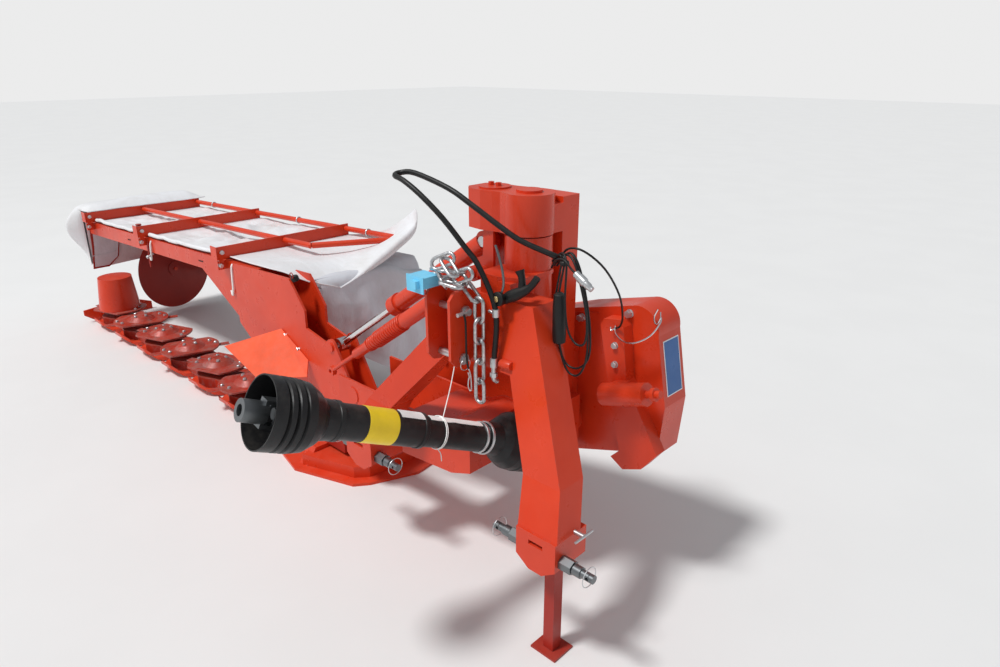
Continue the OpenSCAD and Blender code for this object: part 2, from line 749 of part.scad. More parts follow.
module gooseneck_beam() {
    color(body_red) {
        // closed box beam
        xz(beam_y1, beam_y1 - beam_y0) polygon([[beam_x1, beam_top(beam_x1)],
            [beam_in, beam_top(beam_in)], [beam_in, 520], [1970, 560],
            [2420, beam_top(2420) - beam_h], [beam_x1, beam_top(beam_x1) - beam_h]]);
        // side plates of the gooseneck, open between them for the lift cylinder
        for (y = [goose_y1, mower_y - bracket_gap / 2]) xz(y, bracket_t)
            polygon([[beam_in + 260, beam_top(beam_in + 260)],
                [beam_x0, beam_top(beam_x0)], [1395, 905], [1300.3, 790],
                [1300.3, bar_z0 + bar_t + eps], [1425, bar_z0 + bar_t + eps], [1425, 215],
                [1640, 330], [1970, 540], [beam_in + 260, 560]]);
        // web that closes the gooseneck below the cylinder's path
        xz(beam_y1, beam_y1 - beam_y0) polygon([[1310, bar_z0 + bar_t + eps],
            [1420, bar_z0 + bar_t + eps], [1420, 220], [1640, 335], [1741, 400],
            [1741, 560], [1600, 520], [1310, 420]]);
        // lugs of the cover's hinges
        for (x = cover_arm_x) difference() {
            translate([x + cover_arm_t / 2 + 6, beam_y1 - 1, beam_top(x) - hinge_drop - 30])
                cube([10, hinge_y - beam_y1 + 19, 50]);
            translate([x, hinge_y, beam_top(x) - hinge_drop]) rotate([0, 90 + beam_slope, 0])
                cylinder(d = 17, h = 60);
        }
    }
}

module crop_deflector() {
    y = goose_y1 + eps;
    p = [[1540, y, 635], [1306, y, 525], [1240, y + 55, 470], [1500, y + 185, 420],
        [1830, y + 185, 510]];
    t = [0, 3, 4];
    sides = [for (i = [0:4]) [i, (i + 1) % 5]];
    color("coral") polyhedron(concat(p, [for (q = p) q + t]), concat(
        [[0, 1, 2], [0, 2, 3], [0, 3, 4], [5, 7, 6], [5, 8, 7], [5, 9, 8]],
        [for (e = sides) [e[0], e[0] + 5, e[1] + 5]],
        [for (e = sides) [e[0], e[1] + 5, e[1]]]));
}

module outer_shoe() {
    color(body_red) {
        yz(outer_x - 10, 10) polygon([[bar_y - 330, 0], [bar_y + 110, 0], [bar_y + 190, 60],
            [bar_y + 190, 100], [bar_y - 150, 130], [bar_y - 330, 60]]);
        translate([disc_x1 + bar_w / 2 + 9, bar_y - 60, bar_z0])
            cube([outer_x - disc_x1 - bar_w / 2 - 18, 120, bar_t - 5]);
    }
}

// Rear cover: arms under the canvas, rear tube, canvas and its skirt

module rear_cover_frame() {
    color(body_red) {
        for (x = cover_arm_x) translate([x - 25, rear_y + 20, beam_top(x) - roof_drop - 8])
            cube([50, beam_y0 - rear_y - 20 - eps, 6]);
        rod([1480, rear_y + 30, beam_top(1480) - roof_drop - 22],
            [4250, rear_y + 30, beam_top(4250) - roof_drop - 22], 15);
    }
}

module rear_canvas() {
    x0 = 1450;
    x1 = 4295;
    t = 6;
    color(cloth) {
        xz(goose_y0 - eps, goose_y0 - eps - skirt_y) polygon([
            [x0, beam_top(x0) - roof_drop], [x1, beam_top(x1) - roof_drop],
            [x1, beam_top(x1) - roof_drop + t], [x0, beam_top(x0) - roof_drop + t]]);
        xz(skirt_y + t, t) polygon([[x0, 230], [x1, 230],
            [x1, beam_top(x1) - roof_drop + t], [x0, beam_top(x0) - roof_drop + t]]);
    }
}

module outer_side_frame() {
    color(dark_red) yz(beam_x1 + eps, 8) polygon([[beam_y1, 800], [beam_y0, 800],
        [rear_y, 760], [rear_y, 706], [beam_y0 - 100, 690], [beam_y0 - 60, 500],
        [beam_y0 + 20, 430], [beam_y1 + 30, 430], [beam_y1 + 10, 600]]);
}

// Canvas down the outer end, outside its frame
module side_canvas() {
    color(cloth) yz(beam_x1 + 8 + 2 * eps, 6) polygon([[beam_y1 + 10, 800],
        [rear_y - 40, 755], [rear_y - 40, 300], [beam_y0 - 100, 380], [beam_y1 + 20, 430]]);
}

module swath_frame() { translate(swath_c) rotate([0, 0, 12]) rotate([0, 90, 0]) children(); }

module swath_arm() {
    y = rear_y + 62;
    color(body_red) {
        rod([4250, y, 734], swath_c + [42, 6, 20], 14);
        rod([4215, y, 734], [beam_x1, y, 734], 12);
        swath_frame() {
            translate([0, 0, 10 + eps]) cylinder(r = 30, h = 62);
            translate([0, 0, -18]) cylinder(r = 14.7, h = 60);
        }
    }
}

module swath_disc() {
    color(dark_red) swath_frame() difference() {
        union() {
            cylinder(r = swath_d / 2, h = 5, center = true);
            cylinder(r = 60, h = 20, center = true);
        }
        cylinder(r = 15, h = 30, center = true);
    }
}

module front_cover_frame() {
    t = cover_arm_t;
    color(body_red) {
        for (x = cover_arm_x) difference() {
            z = beam_top(x);
            yz(x - t / 2, t) polygon([[hinge_y - 14, z + 14], [rear_y, z + 14],
                [rear_y, z + 14 + cover_arm_h], [hinge_y + 14, z + 14 + cover_arm_h],
                [hinge_y + 14, z - hinge_drop - 22], [hinge_y - 14, z - hinge_drop - 22]]);
        }
        // hinge bolts
        for (x = cover_arm_x) translate([x, hinge_y, beam_top(x) - hinge_drop])
            rotate([0, 90 + beam_slope, 0]) translate([0, 0, -12]) cylinder(d = 16, h = 38);
        for (y = [rear_y + 20, mid_y]) {
            inner = y == mid_y ? 1800 : 1480;
            rod([inner, y, beam_top(inner) + 55], [4170, y, beam_top(4170) + 55],
                cover_tube_d / 2);
        }
        rod([1800, mid_y, beam_top(1800) + 55], [1500, rear_y + 22, beam_top(1500) + 55],
            cover_tube_d / 2);
        // elbows where the slanting tube meets the other two
        for (p = [[1800, mid_y], [1500, rear_y + 22]])
            translate([p[0], p[1], beam_top(p[0]) + 55]) sphere(r = cover_tube_d / 2 + 1.5);
    }
}

module front_canvas() {
    color(cloth) xz(beam_y0 - 8, beam_y0 - 8 - rear_y - 12) polygon([
        [1450, beam_top(1450) + 7.7], [4200, beam_top(4200) + 7.7],
        [4200, beam_top(4200) + 13.7], [1450, beam_top(1450) + 13.7]]);
}

// Drive shaft

module shaft_frame() {
    translate(joint_a) rotate([0, 0, shaft_yaw]) rotate([shaft_pitch, 0, 0])
        rotate([-90, 0, 0]) children();
}

// Fork of a universal joint whose ears hold one arm of the cross; z runs away
// from the joint
module fork(l) {
    color(steel) difference() {
        union() {
            translate([0, 0, fork_base]) cylinder(r = 30, h = l - fork_base);
            for (s = [-1, 1]) translate([s * 37, 0, 0]) {
                translate([-6, -20, 0]) cube([12, 40, fork_base + 10]);
                rotate([0, 90, 0]) cylinder(r = 20, h = 12, center = true);
            }
            translate([-43, -20, fork_base]) cube([86, 40, 12]);
        }
        rotate([0, 90, 0]) cylinder(r = cross_r + eps, h = 120, center = true);
    }
}

// Cross of a universal joint, its arms along the two hinge axes
module cross() {
    color(steel) {
        cylinder(r = 17, h = 34, center = true);
        rotate([90, 0, 0]) cylinder(r = cross_r, h = 84, center = true);
        rotate([0, 90, 0]) cylinder(r = cross_r, h = 84, center = true);
    }
}

module input_flange() {
    translate(joint_a) rotate([90, 0, 0]) {
        rotate([0, 0, 90]) fork(86);
        color(steel) translate([0, 0, fork_base + 2]) cylinder(r = 21.9, h = 200);
    }
}

// The inner cross stands upright between the flange's ears
module inner_cross() {
    translate(joint_a) rotate([0, 0, shaft_yaw]) rotate([-90, 0, 0]) cross();
}
module inner_fork() { shaft_frame() fork(fork_l); }
module outer_cross() { shaft_frame() translate([0, 0, shaft_l]) cross(); }
module outer_fork() { shaft_frame() translate([0, 0, shaft_l]) mirror([0, 0, 1]) fork(fork_l); }

// Bellows of a guard cone, opened towards the joint
module guard_cone(tube_r, mouth) {
    r = cone_d / 2;
    rotate_extrude() polygon([[r - 4, -mouth], [r, -mouth], [r, -24], [r - 8, -18], [r, -12],
        [r, 2], [r - 8, 8], [r, 14], [r, 30], [r - 8, 36], [r - 2, 42], [r - 6, 70],
        [r - 26, 105], [tube_r + 8, 128], [tube_r + 4, 175], [tube_r - 4, 175],
        [tube_r, 120], [r - 34, 96], [r - 12, 64], [r - 10, 0]]);
}

module guard_inner() {
    color(black) shaft_frame() {
        guard_cone(guard_d / 2 - 5, 40);
        translate([0, 0, 170]) difference() {
            cylinder(d = guard_d - 10, h = guard_lap - 170);
            translate([0, 0, 10]) cylinder(d = 44, h = guard_lap);
        }
    }
}

module guard_outer() {
    color(black) shaft_frame() {
        translate([0, 0, shaft_l]) mirror([0, 0, 1]) guard_cone(guard_d / 2, 62);
        difference() {
            translate([0, 0, 480]) cylinder(d = guard_d, h = shaft_l - 170 - 480);
            translate([0, 0, 470]) cylinder(d = guard_d - 9.4, h = shaft_l - 190 - 470);
        }
        translate([0, 0, 300]) cylinder(d = 42, h = shaft_l - 180 - 300);
    }
}

// Splined yoke for the tractor's shaft; its ears hold the cross's other arms
module tractor_yoke() {
    shaft_frame() translate([0, 0, shaft_l]) color(steel) difference() {
        union() {
            rotate([0, 0, 90]) fork(60);
            translate([0, 0, fork_base]) cylinder(r = yoke_r, h = yoke_end - fork_base);
        }
        translate([0, 0, yoke_bore_z]) cylinder(d = spline_d, h = 100);
    }
}

module placed() { translate(-origin) children(); }

placed() hitch_frame();
placed() lower_pin_left();
placed() lower_pin_right();
placed() top_link_plates();
placed() top_link_pins();
placed() tie_chain();
placed() parking_stand();
placed() stand_pin();
placed() swivel_tower();
placed() pivot_pin();
placed() carrying_arm();
placed() belt_housing();
placed() input_bearing();
placed() release_strut();
placed() hinge_pin();
placed() lift_pin();
placed() lift_barrel();
placed() lift_rod();
placed() spring_coil();
placed() spring_rod();
placed() cutter_bar();
placed() skid_shoes();
placed() inner_shoe();
placed() bar_gearbox();
placed() hinge_bracket();
placed() gooseneck_beam();
placed() crop_deflector();
placed() outer_shoe();
placed() rear_cover_frame();
placed() rear_canvas();
placed() outer_side_frame();
placed() side_canvas();
placed() swath_arm();
placed() swath_disc();
placed() front_cover_frame();
placed() front_canvas();
placed() disc_1();
placed() disc_2();
placed() disc_3();
placed() disc_4();
placed() disc_5();
placed() disc_6();
placed() disc_7();
placed() outer_hat();
placed() input_flange();
placed() inner_cross();
placed() inner_fork();
placed() guard_inner();
placed() guard_outer();
placed() outer_fork();
placed() outer_cross();
placed() tractor_yoke();
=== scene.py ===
"""Looks of a mounted disc mower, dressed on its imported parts.

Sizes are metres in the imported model's frame. Places that were measured round the
three-point hitch are written there and moved by hitch().
"""

import logging
from dataclasses import dataclass, field
from enum import Enum
from math import copysign, cos, pi, radians, sin, tau
from typing import Callable, Iterable, Sequence

import bmesh
import bpy
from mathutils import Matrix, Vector, noise

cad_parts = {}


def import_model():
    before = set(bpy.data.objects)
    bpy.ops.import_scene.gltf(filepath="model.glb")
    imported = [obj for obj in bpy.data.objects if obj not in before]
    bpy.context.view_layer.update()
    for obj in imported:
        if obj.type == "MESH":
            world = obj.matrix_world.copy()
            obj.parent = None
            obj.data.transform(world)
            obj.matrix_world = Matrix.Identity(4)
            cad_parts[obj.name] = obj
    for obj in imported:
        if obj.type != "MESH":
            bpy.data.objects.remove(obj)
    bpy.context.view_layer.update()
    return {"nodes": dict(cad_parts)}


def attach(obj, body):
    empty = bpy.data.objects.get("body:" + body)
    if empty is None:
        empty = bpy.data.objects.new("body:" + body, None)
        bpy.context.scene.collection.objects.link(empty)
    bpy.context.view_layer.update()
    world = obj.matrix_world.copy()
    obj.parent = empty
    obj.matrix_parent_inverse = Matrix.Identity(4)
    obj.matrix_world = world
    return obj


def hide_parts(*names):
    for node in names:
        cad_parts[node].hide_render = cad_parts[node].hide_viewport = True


LOG = logging.getLogger("mower")
Point = Sequence[float]
Path = Sequence[Point]
Socket = bpy.types.NodeSocket

HITCH_ORIGIN = Vector((1.844, -0.175449, 0.0))
COVER_ARMS = (4.17, 3.19, 2.08)
CLOTH_SHARP_DEG = 60.0
ROUND_SHARP_DEG = 80.0


def hitch(x: float, y: float, z: float) -> Vector:
    """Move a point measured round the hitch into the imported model's frame.

    Args:
        x: metres to the machine's right of the hitch's middle.
        y: metres forward of the leg's middle plane.
        z: metres above the ground.

    Returns:
        The same point in the model's frame.
    """
    return Vector((x, y, z)) - HITCH_ORIGIN


def placed(name: str, data: bpy.types.ID) -> bpy.types.Object:
    """Make an object of its data and put it in the scene."""
    made = bpy.data.objects.new(name, data)
    bpy.context.scene.collection.objects.link(made)
    return made


class NodeSheet:
    """A material's node tree, written one node at a time."""

    def __init__(self, name: str) -> None:
        """Start an empty principled material.

        Args:
            name: the material's name.
        """
        self.material = bpy.data.materials.new(name)
        self.material.use_nodes = True
        self.tree = self.material.node_tree
        self.tree.nodes.clear()
        self.skin = self.node("BsdfPrincipled")
        self.join(self.skin.outputs[0], self.node("OutputMaterial").inputs[0])
        self.place = self.node("TexCoord").outputs["Object"]

    def node(self, kind: str, **values: float | Point) -> bpy.types.Node:
        """Add a shader node and set inputs by name, with underscores for spaces."""
        node = self.tree.nodes.new(f"ShaderNode{kind}")
        for name, value in values.items():
            node.inputs[name.replace("_", " ")].default_value = value
        return node

    def join(self, source: Socket, target: Socket) -> None:
        """Link two sockets."""
        self.tree.links.new(source, target)

    def noise(self, scale: float, detail: float = 4.0, rough: float = 0.55,
              stretch: Point = (1, 1, 1), warp: float = 0.0) -> Socket:
        """Add a noise texture on object coordinates.

        Args:
            scale: waves per metre.
            detail: octaves.
            rough: weight of the finer octaves.
            stretch: scale of the pattern along each axis.
            warp: distortion.

        Returns:
            The texture's value socket.
        """
        mapping = self.node("Mapping", Scale=stretch)
        self.join(self.place, mapping.inputs["Vector"])
        node = self.node("TexNoise", Scale=scale, Detail=detail, Roughness=rough, Distortion=warp)
        self.join(mapping.outputs[0], node.inputs["Vector"])
        return node.outputs[0]

    def ramp(self, source: Socket, stops: Iterable[tuple[float, Point]]) -> Socket:
        """Turn a value into a colour.

        Args:
            source: the value.
            stops: pairs of a place from 0 to 1 and a linear colour.

        Returns:
            The ramp's colour socket.
        """
        node = self.node("ValToRGB")
        marks = node.color_ramp.elements
        stops = list(stops)
        while len(marks) < len(stops):
            marks.new(0.5)
        for mark, (at, colour) in zip(marks, stops):
            mark.position = at
            mark.color = (*colour[:3], 1.0)
        self.join(source, node.inputs[0])
        return node.outputs[0]

    def grade(self, source: Socket, low: float, high: float,
              to_low: float = 0.0, to_high: float = 1.0) -> Socket:
        """Map a range of a value on another range, clamped."""
        node = self.node("MapRange", From_Min=low, From_Max=high, To_Min=to_low, To_Max=to_high)
        self.join(source, node.inputs["Value"])
        return node.outputs[0]

    def math(self, kind: str, a: Socket | float, b: Socket | float) -> Socket:
        """Add a math node of two values."""
        node = self.node("Math")
        node.operation = kind
        for socket, value in zip(node.inputs, (a, b)):
            if isinstance(value, (int, float)):
                socket.default_value = value
            else:
                self.join(value, socket)
        return node.outputs[0]

    def times(self, a: Socket | float, b: Socket | float) -> Socket:
        """Multiply two values."""
        return self.math("MULTIPLY", a, b)

    def mix(self, share: Socket, a: Socket | Point, b: Socket | Point) -> Socket:
        """Mix two colours by a share."""
        node = self.node("Mix")
        node.data_type = "RGBA"
        self.join(share, node.inputs["Factor"])
        for socket, value in ((node.inputs[6], a), (node.inputs[7], b)):
            if isinstance(value, Socket):
                self.join(value, socket)
            else:
                socket.default_value = (*value[:3], 1.0)
        return node.outputs[2]

    def upward(self, low: float, high: float) -> Socket:
        """Give 1 where a face looks up and 0 where it doesn't."""
        split = self.node("SeparateXYZ")
        self.join(self.node("NewGeometry").outputs["Normal"], split.inputs[0])
        return self.grade(split.outputs[2], low, high)

    def dust(self, faces: Point, cloud: Socket, spread: Point) -> Socket:
        """Give dust that lies in clouds on faces that look up.

        Args:
            faces: the upward look where dust begins, and where it is full.
            cloud: the noise that parts the dust.
            spread: the noise's values where dust begins, and where it is full.

        Returns:
            The dust's share, from 0 to 1.
        """
        return self.times(self.upward(*faces), self.grade(cloud, *spread))

    def colour(self, source: Socket) -> None:
        """Use a colour on the surface."""
        self.join(source, self.skin.inputs["Base Color"])

    def vary_roughness(self, cloud: Socket, low: float, high: float) -> Socket:
        """Give a roughness that a noise moves between two values."""
        return self.grade(cloud, 0.3, 0.7, low, high)

    def roughness(self, source: Socket) -> None:
        """Use a roughness on the surface."""
        self.join(source, self.skin.inputs["Roughness"])

    def edges(self, radius: float, soft: float) -> Socket:
        """Give 1 on sharp outer edges, fading over a radius.

        Args:
            radius: how far the wear reaches, in metres.
            soft: how much the normals must differ for full wear.
        """
        bevel, dot = self.node("Bevel", Radius=radius), self.node("VectorMath")
        bevel.samples = 4
        dot.operation = "DOT_PRODUCT"
        self.join(bevel.outputs[0], dot.inputs[0])
        self.join(self.node("NewGeometry").outputs["True Normal"], dot.inputs[1])
        return self.grade(dot.outputs["Value"], 1.0, 1.0 - soft)

    def bump(self, height: Socket, depth: float) -> None:
        """Raise the surface by a height, up to a depth in metres."""
        node = self.node("Bump", Strength=1.0, Distance=depth)
        self.join(height, node.inputs["Height"])
        last = self.skin.inputs["Normal"]
        if last.is_linked:
            self.join(last.links[0].from_socket, node.inputs["Normal"])
        self.join(node.outputs[0], last)

    def set(self, **values: float | Point) -> None:
        """Set sockets of the shader by name, with underscores for spaces."""
        for name, value in values.items():
            socket = self.skin.inputs[name.replace("_", " ")]
            if not isinstance(value, (int, float)):
                value = (*value[:3], 1.0)
            socket.default_value = value


@dataclass(frozen=True)
class MachinePaint:
    """Glossy machine paint with dust on top faces and chips on edges."""

    name: str
    colour: Point
    deep: Point
    dust: float = 0.10
    chips: float = 0.5
    shine: float = 0.30

    def build(self) -> bpy.types.Material:
        """Make the material."""
        s = NodeSheet(self.name)
        tone = s.ramp(s.noise(2.3, 5, 0.6), [(0.3, self.deep), (0.7, self.colour)])
        dust = s.dust((0.2, 0.95), s.noise(9, 8, 0.7, warp=0.4), (0.35, 0.75))
        dusty = s.mix(s.times(dust, self.dust), tone, (0.44, 0.36, 0.28))
        worn = s.times(s.edges(0.004, 0.35), s.grade(s.noise(60, 4), 0.50, 0.62))
        s.colour(s.mix(s.times(worn, self.chips), dusty, (0.16, 0.13, 0.12)))
        rough = s.vary_roughness(s.noise(14, 5), self.shine - 0.06, self.shine + 0.10)
        s.roughness(s.math("ADD", rough, s.times(dust, 0.25)))
        s.bump(s.noise(180, 2), 0.00012)
        s.set(Coat_Weight=0.12, Coat_Roughness=0.16, Specular_IOR_Level=0.32)
        return s.material


@dataclass(frozen=True)
class BareMetal:
    """Zinc, chrome or phosphated steel with soiled patches."""

    name: str
    bright: Point
    dull: Point
    shine: float
    grain: float = 40.0
    soil: float = 0.25

    def build(self) -> bpy.types.Material:
        """Make the material."""
        s = NodeSheet(self.name)
        tone = s.ramp(s.noise(self.grain, 6, 0.65), [(0.35, self.dull), (0.68, self.bright)])
        soil = s.times(s.grade(s.noise(11, 6, 0.7), 0.48, 0.75), self.soil)
        s.colour(s.mix(soil, tone, (0.20, 0.13, 0.08)))
        s.roughness(s.vary_roughness(s.noise(self.grain * 2, 4), self.shine - 0.08,
                                     self.shine + 0.12))
        s.bump(s.noise(self.grain * 6, 3), 0.00008)
        s.set(Metallic=1.0)
        return s.material


@dataclass(frozen=True)
class MouldedPlastic:
    """Moulded plastic or rubber with a fine grain and dust."""

    name: str
    colour: Point
    rough: float = 0.45
    dust: float = 0.3
    grain: float = 500.0
    depth: float = 0.00015

    def build(self) -> bpy.types.Material:
        """Make the material."""
        s = NodeSheet(self.name)
        faded = tuple(c * 1.35 + 0.003 for c in self.colour)
        tone = s.ramp(s.noise(6, 5, 0.6), [(0.3, self.colour), (0.75, faded)])
        dust = s.dust((0.1, 0.9), s.noise(22, 7, 0.7), (0.4, 0.8))
        s.colour(s.mix(s.times(dust, self.dust), tone, (0.42, 0.38, 0.32)))
        s.roughness(s.vary_roughness(s.noise(30, 5), self.rough - 0.07, self.rough + 0.12))
        s.bump(s.noise(self.grain, 3), self.depth)
        s.set(Specular_IOR_Level=0.35)
        return s.material


@dataclass(frozen=True)
class CoatedCanvas:
    """Coated cover cloth: fine weave, soft sheen, dirt in streaks."""

    name: str
    colour: Point
    soiled: Point

    def build(self) -> bpy.types.Material:
        """Make the material."""
        s = NodeSheet(self.name)
        dirt = s.grade(s.noise(3.5, 8, 0.68, warp=0.6), 0.42, 0.80)
        streak = s.grade(s.noise(5, 6, 0.6, stretch=(1.0, 6.0, 1.0)), 0.5, 0.85)
        share = s.times(s.math("MAXIMUM", dirt, s.times(streak, 0.6)), 0.6)
        s.colour(s.mix(share, self.colour, self.soiled))
        s.roughness(s.vary_roughness(s.noise(20, 4), 0.46, 0.62))
        weave = []
        for axis in "XY":
            wave = s.node("TexWave", Scale=180.0, Distortion=0.6)
            wave.bands_direction = axis
            s.join(s.place, wave.inputs["Vector"])
            weave.append(wave.outputs["Fac"])
        s.bump(s.times(*weave), 0.00012)
        s.bump(s.noise(9, 6, 0.6, stretch=(1, 2.5, 1)), 0.004)
        s.set(Sheen_Weight=0.15, Sheen_Roughness=0.5)
        return s.material


@dataclass(frozen=True)
class WornDiscSteel:
    """Deep red disc paint that the grass has polished off in places."""

    name: str
    paint: Point
    steel: Point = (0.42, 0.40, 0.38)
    wear: float = 0.35

    def build(self) -> bpy.types.Material:
        """Make the material."""
        s = NodeSheet(self.name)
        dark = tuple(c * 0.7 for c in self.paint)
        tone = s.ramp(s.noise(6, 6, 0.65), [(0.3, dark), (0.7, self.paint)])
        scour = s.times(s.grade(s.noise(12, 9, 0.75, warp=1.2), 0.50, 0.64), self.wear)
        bare = s.math("MAXIMUM", scour, s.times(s.edges(0.006, 0.4), 0.7))
        dust = s.dust((0.3, 1.0), s.noise(16, 8, 0.7), (0.42, 0.8))
        s.colour(s.mix(s.times(dust, 0.35), s.mix(bare, tone, self.steel), (0.40, 0.33, 0.26)))
        s.join(s.times(bare, 0.85), s.skin.inputs["Metallic"])
        s.roughness(s.vary_roughness(s.noise(25, 6), 0.30, 0.52))
        s.bump(s.noise(70, 5), 0.0002)
        return s.material


@dataclass(frozen=True)
class PaleGround:
    """Plain pale floor that shows one colour to the camera."""

    name: str = "pale_floor"
    colour: Point = (0.80, 0.80, 0.79)

    def build(self) -> bpy.types.Material:
        """Make the material."""
        s = NodeSheet(self.name)
        dark = tuple(c * 0.985 for c in self.colour)
        s.colour(s.ramp(s.noise(1.5, 3), [(0.4, dark), (0.6, self.colour)]))
        s.set(Roughness=0.9)
        return s.material


class Finish(Enum):
    """Every finish on the machine."""

    RED = MachinePaint("machine_red", (0.74, 0.052, 0.012), (0.60, 0.036, 0.009))
    DEEP_RED = MachinePaint("deep_red", (0.40, 0.022, 0.010), (0.30, 0.016, 0.009), shine=0.38)
    DISC = WornDiscSteel("disc_red", (0.50, 0.032, 0.012))
    BAR = WornDiscSteel("bar_red", (0.44, 0.030, 0.012), wear=0.22)
    ZINC = BareMetal("zinc", (0.70, 0.70, 0.70), (0.52, 0.52, 0.52), 0.34)
    CHROME = BareMetal("chrome", (0.80, 0.80, 0.81), (0.70, 0.70, 0.71), 0.14, soil=0.08)
    DARK_STEEL = BareMetal("dark_steel", (0.20, 0.20, 0.21), (0.09, 0.09, 0.10), 0.42, soil=0.4)
    GALVANISED = BareMetal("galvanised", (0.72, 0.73, 0.74), (0.44, 0.45, 0.46), 0.36, grain=90)
    GUARD = MouldedPlastic("guard_black", (0.008, 0.008, 0.009), 0.38, 0.12)
    RUBBER = MouldedPlastic("hose_rubber", (0.006, 0.006, 0.006), 0.42, 0.08, 700)
    BLUE = MouldedPlastic("blue_plastic", (0.17, 0.55, 0.78), 0.40, 0.1)
    PLATE_BLUE = MouldedPlastic("plate_blue", (0.030, 0.115, 0.33), 0.32, 0.1, 300, 0.00003)
    YELLOW = MouldedPlastic("band_yellow", (0.80, 0.58, 0.02), 0.35, 0.1, 300, 0.00004)
    WHITE = MouldedPlastic("white_foam", (0.82, 0.82, 0.80), 0.7, 0.1, 900, 0.0004)
    ORANGE = MouldedPlastic("deflector_orange", (0.76, 0.085, 0.022), 0.48, 0.15, 250, 0.0001)
    CANVAS = CoatedCanvas("cover_canvas", (0.84, 0.85, 0.87), (0.60, 0.57, 0.53))
    # the cover canvas darkened and blued, both its clean and its soiled colour: painted shade of
    # the canvas that hangs under the beam and inside the outer frame
    SHADED_CANVAS = CoatedCanvas("canvas_painted_shade", (0.66, 0.68, 0.73), (0.46, 0.44, 0.44))
    STITCH = MouldedPlastic("seam_thread", (0.16, 0.17, 0.19), 0.7, 0.1)
    GREY = MouldedPlastic("plug_grey", (0.50, 0.50, 0.49), 0.45, 0.2)
    # near-black red for plates that stand for the beam's slits: painted shade inside the openings
    SLIT_SHADE = MouldedPlastic("slit_painted_shade", (0.045, 0.008, 0.006), 0.8, 0.0)
    BRASS = BareMetal("yellow_zinc", (0.85, 0.66, 0.30), (0.60, 0.45, 0.20), 0.30)
    PALE_EDGE = MouldedPlastic("plate_edge", (0.72, 0.74, 0.76), 0.35, 0.1, 300, 0.00003)

    def material(self) -> bpy.types.Material:
        """Return this finish's material, made on first use."""
        found = bpy.data.materials.get(self.value.name)
        return found or self.value.build()


NODE_FINISHES: dict[Finish, tuple[str, ...]] = {
    Finish.DISC: tuple(f"disc_{i}" for i in range(1, 8)),
    Finish.BAR: ("cutter_bar",),
    Finish.DEEP_RED: ("swath_disc", "parking_stand", "outer_side_frame", "bar_gearbox"),
    Finish.GALVANISED: ("tie_chain",),
    Finish.ZINC: ("top_link_pins", "stand_pin", "hinge_pin", "pivot_pin", "lift_pin"),
    Finish.CHROME: ("lift_rod",),
    Finish.DARK_STEEL: ("lower_pin_left", "lower_pin_right", "input_flange", "inner_cross",
                        "inner_fork", "outer_cross", "outer_fork", "tractor_yoke"),
    Finish.GUARD: ("guard_inner", "guard_outer"),
    Finish.ORANGE: ("crop_deflector",),
    Finish.CANVAS: ("front_canvas",),
    # the rear canvas takes the cover canvas with painted shade
    Finish.SHADED_CANVAS: ("rear_canvas",),
}


def dress_nodes(nodes: dict[str, bpy.types.Object]) -> None:
    """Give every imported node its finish.

    Args:
        nodes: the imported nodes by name.
    """
    finish_of = {n: f for f, names in NODE_FINISHES.items() for n in names}
    for name, node in nodes.items():
        node.data.materials.clear()
        node.data.materials.append(finish_of.get(name, Finish.RED).material())


def angles(count: int) -> list[float]:
    """Return the angles that part a full turn evenly."""
    return [tau * k / count for k in range(count)]


def grid_of(rows: int, cols: int, at: Callable[[float, float], Vector]) -> list[list[Vector]]:
    """Sample a surface in rows.

    Args:
        rows: steps from one row to the last.
        cols: steps along a row.
        at: gives the point at a place from 0 to 1 both ways.

    Returns:
        The rows of points.
    """
    return [[at(i / rows, j / cols) for j in range(cols + 1)] for i in range(rows + 1)]


